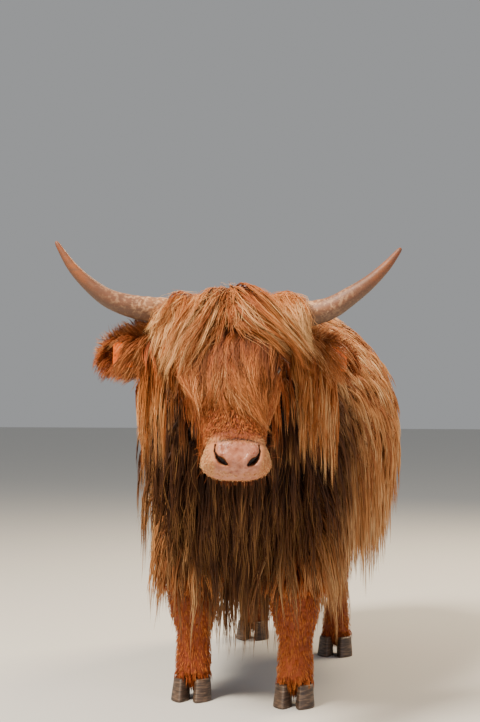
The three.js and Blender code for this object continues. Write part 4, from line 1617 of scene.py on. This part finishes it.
class Strands:
    """Drawn strands, mixed between the two whose fans lie either side of a root's."""

    def __init__(self, rows, half):
        rows = np.array(rows, float)
        self.fans, self.half = rows[:, 0], half
        self.points = rows[:, 1:].reshape(len(rows), -1, 3)
        self.runs = np.linalg.norm(np.diff(self.points, axis=1), axis=-1).sum(1)

    def fan(self, spot):
        return np.clip(spot.a / self.half + 0.16 * (spot.chance - 0.5), self.fans[0],
                       self.fans[-1])

    def length(self, spot):
        return np.interp(self.fan(spot), self.fans, self.runs)

    def place(self, spot, s):
        rank = np.interp(self.fan(spot), self.fans, np.arange(len(self.fans)))
        low = np.minimum(rank.astype(int), len(self.fans) - 2)
        mix = (rank - low)[:, None, None]
        drawn = self.points[low] * (1 - mix) + self.points[low + 1] * mix
        return smooth_rows(drawn.transpose(1, 0, 2), np.float64(s))

    def flow(self, spot, at, normal, s):
        """Along the drawn strand, turned towards it by the gap, up to a gap of 4 cm."""
        tangent = unit(self.place(spot, s + 0.05) - self.place(spot, s - 0.05))
        local = in_head(at) * (1, -1, 1)
        gap = (self.place(spot, s) - local) / 0.04
        gap = gap / np.maximum(1, np.linalg.norm(gap, axis=-1, keepdims=True))
        way = tangent + 0.8 * gap
        return head_way(*way.T)


print("drawn strands:", len(TOP_STRANDS), "above and", len(UNDER_STRANDS), "below")

# %% [markdown]
# The strands are followed by locks of three kinds above: broad ones that carry the colour
# from red in the middle to gold at the sides, fine loose wisps that fly over them, and short
# ones at the whorl that stand up before they fall over the brow.

# %% Forelock


def on_crest(spot):
    """The top of the head between the horns, where the forelock's upper layer grows."""
    return (spot.on("head") * step(0.060, 0.040, spot.d)
            * step(-0.03, 0.0, spot.o + 0.5 * np.maximum(-spot.d, 0)))


def on_forehead(spot):
    """The forehead below the whorl, where the under layer grows."""
    return (spot.on("head") * step(0.065, 0.090, spot.d) * step(0.165, 0.135, spot.d)
            * step(0.01, 0.035, spot.o) * step(0.085, 0.065, spot.off))


def on_whorl(spot):
    return (spot.on("head") * (spot.d < 0.035) * step(0.045, 0.03, spot.off)
            * (spot.up_head > 0))


def over_brow(spot, at, normal, s):
    """Short hair at the whorl: up and forward, then over the brow."""
    return head_way(0.6 * spot.a / 0.04, 0.8, 0.25 - 1.1 * s)


def top_lie(spot):
    """Over the skin: 28 mm in the middle of the head, 36 mm over the horns' bases."""
    return 0.036 - 0.008 * step(1.1, 0.5, spot.off / TOP_HALF)


def aside(spot):
    """0 in the middle of the head, where the forelock is red, and 1 where it is gold."""
    return np.minimum(1, spot.off / 0.06)


TOP_HALF = 0.078
UNDER_HALF = 0.070
top_strands = Strands(TOP_STRANDS, TOP_HALF)
under_strands = Strands(UNDER_STRANDS, UNDER_HALF)
fringe = dict(width=0.0027, gather=0.6, frizz=0.3)
gilt = (lambda spot: -0.3 - 0.4 * aside(spot), lambda spot: 0.4 + 0.45 * aside(spot))
coats["coat_forelock_top"] = [
    lot(41, on_crest, 355, 10, top_strands.flow, top_strands.length, top_lie, droop=0.0,
        glue=0.05, rings=7, spread=0.014, wave=0.0038, wave_length=0.20, **fringe, more=gilt,
        tone=lambda spot: 0.10 + 0.60 * aside(spot)),
    lot(40, on_crest, 140, 5, top_strands.flow, top_strands.length,
        lambda spot: top_lie(spot) + 0.004, droop=0.0, glue=0.0, rings=7, spread=0.022,
        width=0.0013, wave=0.009, wave_length=0.16, gather=0.2, frizz=0.8, more=gilt, tone=0.7,
        start=0.3),
    lot(48, on_whorl, 60, 8, over_brow, length=0.12, lie=0.020, droop=0.3, glue=0.1, rings=6,
        spread=0.014, wave=0.003, wave_length=0.2, **fringe, more=gilt, start=0.12, tone=0.3)]
coats["coat_forelock_under"] = [
    lot(42, on_forehead, 330, 10, under_strands.flow, under_strands.length, lie=0.018, droop=0.0,
        glue=0.15, rings=7, spread=0.013, wave=0.009, wave_length=0.17, tone=0.26, **fringe,
        # the third marking darkens the roots nearest the crest, as painted shade in the hollow
        # under the top layer
        more=(-0.2, 0.4, lambda spot: 0.55 * step(0.130, 0.085, spot.d)))]
print("locks of the forelock:", [len(body) for layer in ("top", "under")
                                 for body, _, _ in coats["coat_forelock_" + layer]])

# %% [markdown]
# The face below the fringe has short close hair that lies down the nose and back over the
# cheeks, longer under the jaw and closest round the muzzle. The pad of the nose is bare. A
# few whiskers stand by the lips, a tuft hangs from the lower lip, and each upper eyelid has a
# row of lashes.

# %% Face


def turning(across, ahead, up):
    """A flow away from the head's middle, whose ahead and up are each given as their value
    at the root and how much they change by the tip."""
    return lambda spot, at, normal, s: head_way(across * spot.side, ahead[0] + ahead[1] * s,
                                                up[0] + up[1] * s)


def bare_pad(spot):
    """1 on the bare pad between and round the nostrils."""
    return (step(0.35, 0.6, spot.faces_ahead) * step(-0.335, -0.347, spot.up_head)
            * step(-0.440, -0.428, spot.up_head) * step(0.062, 0.048, spot.off))


def face_flow(spot, at, normal, s):
    """Down the face, and outwards from its middle line."""
    return head_way(0.35 * np.tanh(spot.a / 0.04), 0.15, -1.0)


def face_length(spot):
    """22 mm on the face, 9 mm round the muzzle and 9 cm under the jaw."""
    jaw = step(0.01, -0.08, spot.o)
    muzzle = step(0.36, 0.43, spot.d)
    return (0.022 + 0.065 * jaw) * (1 - muzzle) + 0.009 * muzzle


def face_lie(spot):
    return 0.3 * face_length(spot)


def out_of_muzzle(spot, at, normal, s):
    """Whiskers stand out from the lip and bend down."""
    return normal + np.array([0.0, -0.15, -0.9 * s])


def from_eye(spot):
    """How far back along the lids' line a root is from the eye, and how far above it."""
    centre, _, corner, over = eye_frame(1)
    gap = np.stack([spot.off, -spot.ahead_head, spot.up_head], -1) - centre
    return gap @ corner, gap @ over


def upper_lid(spot):
    """A line 3.6 mm wide along the edge of the upper lid."""
    along, above = from_eye(spot)
    edge = LID_OPEN * (1 - (along / LID_HALF) ** 2)
    return (spot.on("head") * (spot.off > 0.05) * (np.abs(along) < 0.8 * LID_HALF)
            * (np.abs(above - edge - 0.001) < 0.0018))


def on_cheeks(spot):
    """The face, but for the pad, the nostrils and the lids, and more on the nose's bridge."""
    rim, _ = to_nostril(spot.off, spot.up_head)
    along, above = from_eye(spot)
    off_lids = np.hypot(along / (LID_HALF + 0.002), above / (LID_OPEN + 0.003)) > 1
    bridge = step(0.27, 0.33, spot.d) * step(-0.02, 0.01, spot.o)
    return (spot.on("head") * step(0.05, 0.10, spot.d) * (1 - bare_pad(spot)) * (rim > 0.013)
            * off_lids * (1.4 + 0.2 * step(0.02, -0.06, spot.o) + 2.6 * bridge))


coats["coat_face"] = [
    lot(43, lambda spot: on_cheeks(spot) * step(0.42, 0.39, spot.d), 2900, 2, face_flow,
        face_length, face_lie, droop=0.3, glue=0.5, rings=3, spread=0.007, width=0.0026,
        wave=0.001, wave_length=0.05, gather=0.3, start=0.3),
    lot(44, lambda spot: on_cheeks(spot) * step(0.38, 0.41, spot.d), 900, 3, face_flow,
        face_length, lie=0.002, droop=0.1, glue=0.9, rings=2, spread=0.003, width=0.0011,
        wave=0.0003, wave_length=0.03, gather=0.2, start=0.5),
    lot(50, lambda spot: spot.on("head") * step(0.385, 0.40, spot.d) * step(0.05, 0.06, spot.off)
        * (spot.o < 0.03), 30, 2, out_of_muzzle, length=0.030, lie=0.022, droop=0.1, glue=0.0,
        rings=4, spread=0.003, width=0.0005, wave=0.001, start=0.2, tone=0.4,
        more=(0.6, 0.0, 0.0, -1.0)),
    lot(54, upper_lid, 26, 3, turning(1.0, (0.3, 0.0), (-0.5, 0.9)), length=0.022, lie=0.010,
        droop=0.0, glue=0.0, rings=3, spread=0.002, width=0.0007, wave=0.0, gather=0.3,
        start=0.0, tone=0.1, more=(0.0, 0.0, 0.6)),
    lot(53, lambda spot: spot.on("head") * step(0.40, 0.42, spot.d) * (spot.o < MOUTH_OUT - 0.005),
        120, 5, face_flow, length=0.020, lie=0.006, droop=0.3, glue=0.0, rings=3, spread=0.006,
        # the third marking at 0.4 darkens the lip tuft as painted shade under the lower lip
        width=0.0010, wave=0.0, gather=0.4, start=0.1, tone=0.35, more=(0.3, 0.0, 0.4, -0.8))]
print("locks on the face:", [len(body) for body, _, _ in coats["coat_face"]])

# %% [markdown]
# Each ear is a fan: red hair spreads to its rim and past it at the tip, and long golden
# strands hang from its front and lower edge. In front of the tag the hair is lifted and falls
# over most of it, and behind the tag it is short, so that none grows through.

# %% Ears
TAG_SPARE = 0.004


def above_ear(spot):
    """How high a root lies over the ear's middle line, as a share of the ear's half height."""
    line = np.interp(spot.off, [row[0] for row in EAR], [row[2] for row in EAR])
    return (spot.up_head - line) / EAR_HALF


def ear_flow(spot, at, normal, s):
    """Out along the ear and away from its middle line."""
    return head_way(0.75 * spot.side, 0.0, 1.15 * above_ear(spot) + 0.1)


def tip_flow(spot, at, normal, s):
    """Past the ear's tip, then down, and more up or down the further from its middle line."""
    return head_way(0.8 * spot.side, 0.35, -0.25 - 0.8 * s + 0.8 * above_ear(spot))


def behind_tag(spot):
    """1 where a root faces the tag's back, so that no hair grows through the tag."""
    apart = np.maximum(np.abs(spot.off - TAG_PLACE[0]) / (TAG_HALF[0] + TAG_SPARE),
                       np.abs(spot.up_head - TAG_PLACE[2]) / (TAG_HALF[2] + TAG_SPARE))
    return (apart < 1) * (spot.faces_ahead > 0)


def on_ears(spot, inner, outer):
    """The ears, from one distance off the head's middle out, by a smooth step to another."""
    return spot.on("ear_left", "ear_right") * step(inner, outer, spot.off)


def whole_ear(spot):
    return (on_ears(spot, 0.10, 0.13) * (0.5 + step(0.25, 0.9, np.abs(above_ear(spot))))
            * (1 - behind_tag(spot)))


def before_tag(spot):
    return (on_ears(spot, 0.15, 0.17) * step(0.245, 0.225, spot.off)
            * step(0.3, 0.6, spot.faces_ahead) * (above_ear(spot) > -0.2))


def hanging(spot):
    """The ear's front, less far out on the right, where the strands hang nearer the cheek."""
    return (on_ears(spot, 0.14, 0.16) * (spot.off < np.where(spot.a > 0, 0.255, 0.225))
            * step(0.0, 0.5, spot.faces_ahead))


def ear_length(spot):
    return 0.060 + 0.014 * step(0.2, -0.9, above_ear(spot))


less_red = (-0.25, 0.1)
coats["coat_ears"] = [
    lot(45, whole_ear, 760, 8, ear_flow, ear_length, lie=0.010, droop=0.10, glue=0.2, rings=3,
        spread=0.013, width=0.0019, wave=0.001, wave_length=0.12, gather=0.1, ragged=0.4,
        frizz=0.2, start=0.2, tone=0.45, more=less_red),
    lot(47, before_tag, 150, 8, turning(1.0, (0.5, -0.8), (-0.15, -0.9)), length=0.130, lie=0.033,
        droop=0.3, glue=0.0, rings=4, spread=0.014, width=0.0027, wave=0.002, wave_length=0.14,
        gather=0.4, start=0.15, tone=0.45, more=less_red),
    lot(55, lambda spot: spot.on("ear_left", "ear_right") * behind_tag(spot), 110, 6, ear_flow,
        length=0.018, lie=0.003, droop=0.1, glue=0.7, rings=2, spread=0.006, width=0.0016,
        wave=0.0, gather=0.1, start=0.2, tone=0.4),
    lot(46, hanging, 76, 9, turning(0.25, (0.6, -0.6), (-0.3, -1.0)), length=0.31, lie=0.03,
        droop=1.4, glue=0.0, rings=7, spread=0.014, width=0.0028, wave=0.005, wave_length=0.26,
        gather=0.88, more=(-0.55, 0.7), tone=0.5),
    lot(49, lambda spot: spot.on("ear_left", "ear_right") * (spot.off > 0.27)
        * (1 - behind_tag(spot)), 150, 5, tip_flow, length=0.078, lie=0.010, droop=0.2, glue=0.2,
        rings=3, spread=0.010, width=0.0019, wave=0.0, gather=0.1, start=0.2, tone=0.42)]
print("locks on the ears:", [len(body) for body, _, _ in coats["coat_ears"]])

# %% [markdown]
# The tail's dock is clad like the rump, and its bone ends in a long switch.

# %% Tail


def down_tail(spot, at, normal, s):
    """Down, and away from the tail's middle line."""
    return np.stack([0.25 * np.tanh(at[:, 0] / 0.02), 0 * at[:, 0], np.full(len(at), -1.0)], -1)


coats["coat_tail"] = [
    lot(51, lambda spot: spot.on("tail"), 140, 5, down_tail, length=0.09, lie=0.016, droop=0.3,
        glue=0.4, rings=5, spread=0.010, width=0.0042),
    lot(52, lambda spot: spot.on("tail") * (spot.z < 0.66), 80, 8, down_tail, length=0.24,
        lie=0.02, droop=1.0, glue=0.0, rings=7, spread=0.016, width=0.0042, wave=0.007,
        wave_length=0.12, more=(0.0, 0.5))]
print("locks on the tail:", [len(body) for body, _, _ in coats["coat_tail"]])

# %% [markdown]
# The hide under the coat shows only where the hair is short. There it reads as close fur: the
# same markings, with fine streaks down the body in its colour and relief. Under the long coat
# it is painted dark, as shade in the gaps between the locks. Round the nostrils it is bare,
# pink and wet, cobbled in grains three millimetres across, with painted shade in the nostrils,
# in the fold above them and along the mouth.

# %% Hide


def hide_material():
    """Fur streaks 1.6 mm wide and 12 mm long, and grains of 3.2 mm on the pad."""
    material, tree = new_material("close fur and moist nose leather", IOR=1.4)
    along = add_node(tree, "Attribute", attribute_name="along")
    pad = add_node(tree, "Attribute", attribute_name="pad")
    deep = add_node(tree, "Attribute", attribute_name="deep")
    place = add_node(tree, "TexCoord")
    drawn = add_node(tree, "Mapping", in_Vector=place,
                     in_Scale=(1 / 0.0016, 1 / 0.0016, 1 / 0.012))
    fur = add_node(tree, "TexNoise", in_Vector=drawn, in_Scale=1.0, in_Detail=3.0,
                   in_Distortion=0.6)
    read = add_node(tree, "Math", in_0=fur, in_1=0.62, in_2=along, operation="MULTIPLY_ADD")
    grains = add_node(tree, "TexVoronoi", in_Vector=place, in_Scale=1 / 0.0032,
                      in_Randomness=0.85)
    blush = add_node(tree, "TexNoise", in_Vector=place, in_Scale=1 / 0.018, in_Detail=3.0)
    pink = add_node(tree, "ValToRGB", in_Fac=blush, stops=(
        (0.28, "#7c402c"), (0.45, "#a2654c"), (0.6, "#b4775f"), (0.75, "#95543e")))
    colour = hair_colour(tree, read)
    # painted shade, near black, in the nostrils, the fold over them and along the mouth
    for amount, other in ((pad, pink), (deep, linear("#1c0b07"))):
        colour = add_node(tree, "Mix", in_0=amount, in_6=colour, in_7=other, data_type="RGBA")
    gloss = add_node(tree, "MapRange", in_0=pad, in_3=0.62, in_4=0.27)
    cobbles = add_node(tree, "Math", in_0=grains, in_1=0.5, operation="MULTIPLY")
    height = add_node(tree, "Mix", 0, in_0=pad, in_2=fur, in_3=cobbles, data_type="FLOAT")
    relief = add_node(tree, "Bump", in_Height=height, in_Strength=0.6, in_Distance=0.0024)
    return surface(material, Base_Color=colour, Roughness=gloss, Normal=relief)


def finish_skin():
    """Gives the skin its attributes: the markings, where its fur reads the root-to-tip
    colours, darkest under the long coat as painted shade in its gaps, the bare pad, and the
    painted shade in the nostrils, the fold over them and the mouth."""
    spot = skin_spot
    for attribute, values in zip(MARKINGS, skin_marks):
        give(skin_mesh, attribute, values)
    red, _, _, cream = skin_marks
    # Under the long coat the hide reads the dark root end of the ramps, as painted shade in the
    # gaps between the locks; it is lighter on the red face and legs, the cream muzzle and below the
    # knees.
    give(skin_mesh, "along",
         -0.20 + 0.25 * np.maximum(red, cream) + 0.07 * step(0.36, 0.30, spot.z))
    give(skin_mesh, "tone", np.full(len(skin_points), 0.5))
    give(skin_mesh, "pad", spot.on("head") * bare_pad(spot))
    # painted shade: inside the nostrils, a thin line along the fold over the pad, and the mouth
    rim, down = to_nostril(spot.off, spot.up_head)
    nostril = step(1.05, 0.45, rim / nostril_width(down)) * step(0.38, 0.40, spot.d)
    fold = (0.85 * np.exp(-(over_fold(spot.a, spot.up_head) / 0.0030) ** 2)
            * step(0.056, 0.04, spot.off) * step(0.33, 0.36, spot.d))
    mouth = step(0.007, 0.003, np.abs(spot.o - MOUTH_OUT - 0.005)) * step(0.40, 0.42, spot.d)
    give(skin_mesh, "deep", spot.on("head") * np.maximum(np.maximum(nostril, fold), mouth))
    flesh = ["head", "muzzle", "lower_jaw", "forelock", "chest", "barrel", "rump", "neck",
             "tail", "tail_switch", "ear_left", "ear_right"]
    flesh += [f"{leg}_{half}" for leg in FOOT_ALONG for half in ("upper", "lower")]
    add_piece("skin", skin_mesh, hide_material(), flesh)


finish_skin()

# %% [markdown]
# Every lot of locks is now joined into the coat's pieces, one for each region, so that none
# passes the size that the export keeps whole.

# %% The coat's pieces
for name, parts in coats.items():
    add_coat(name, HAIR, parts)
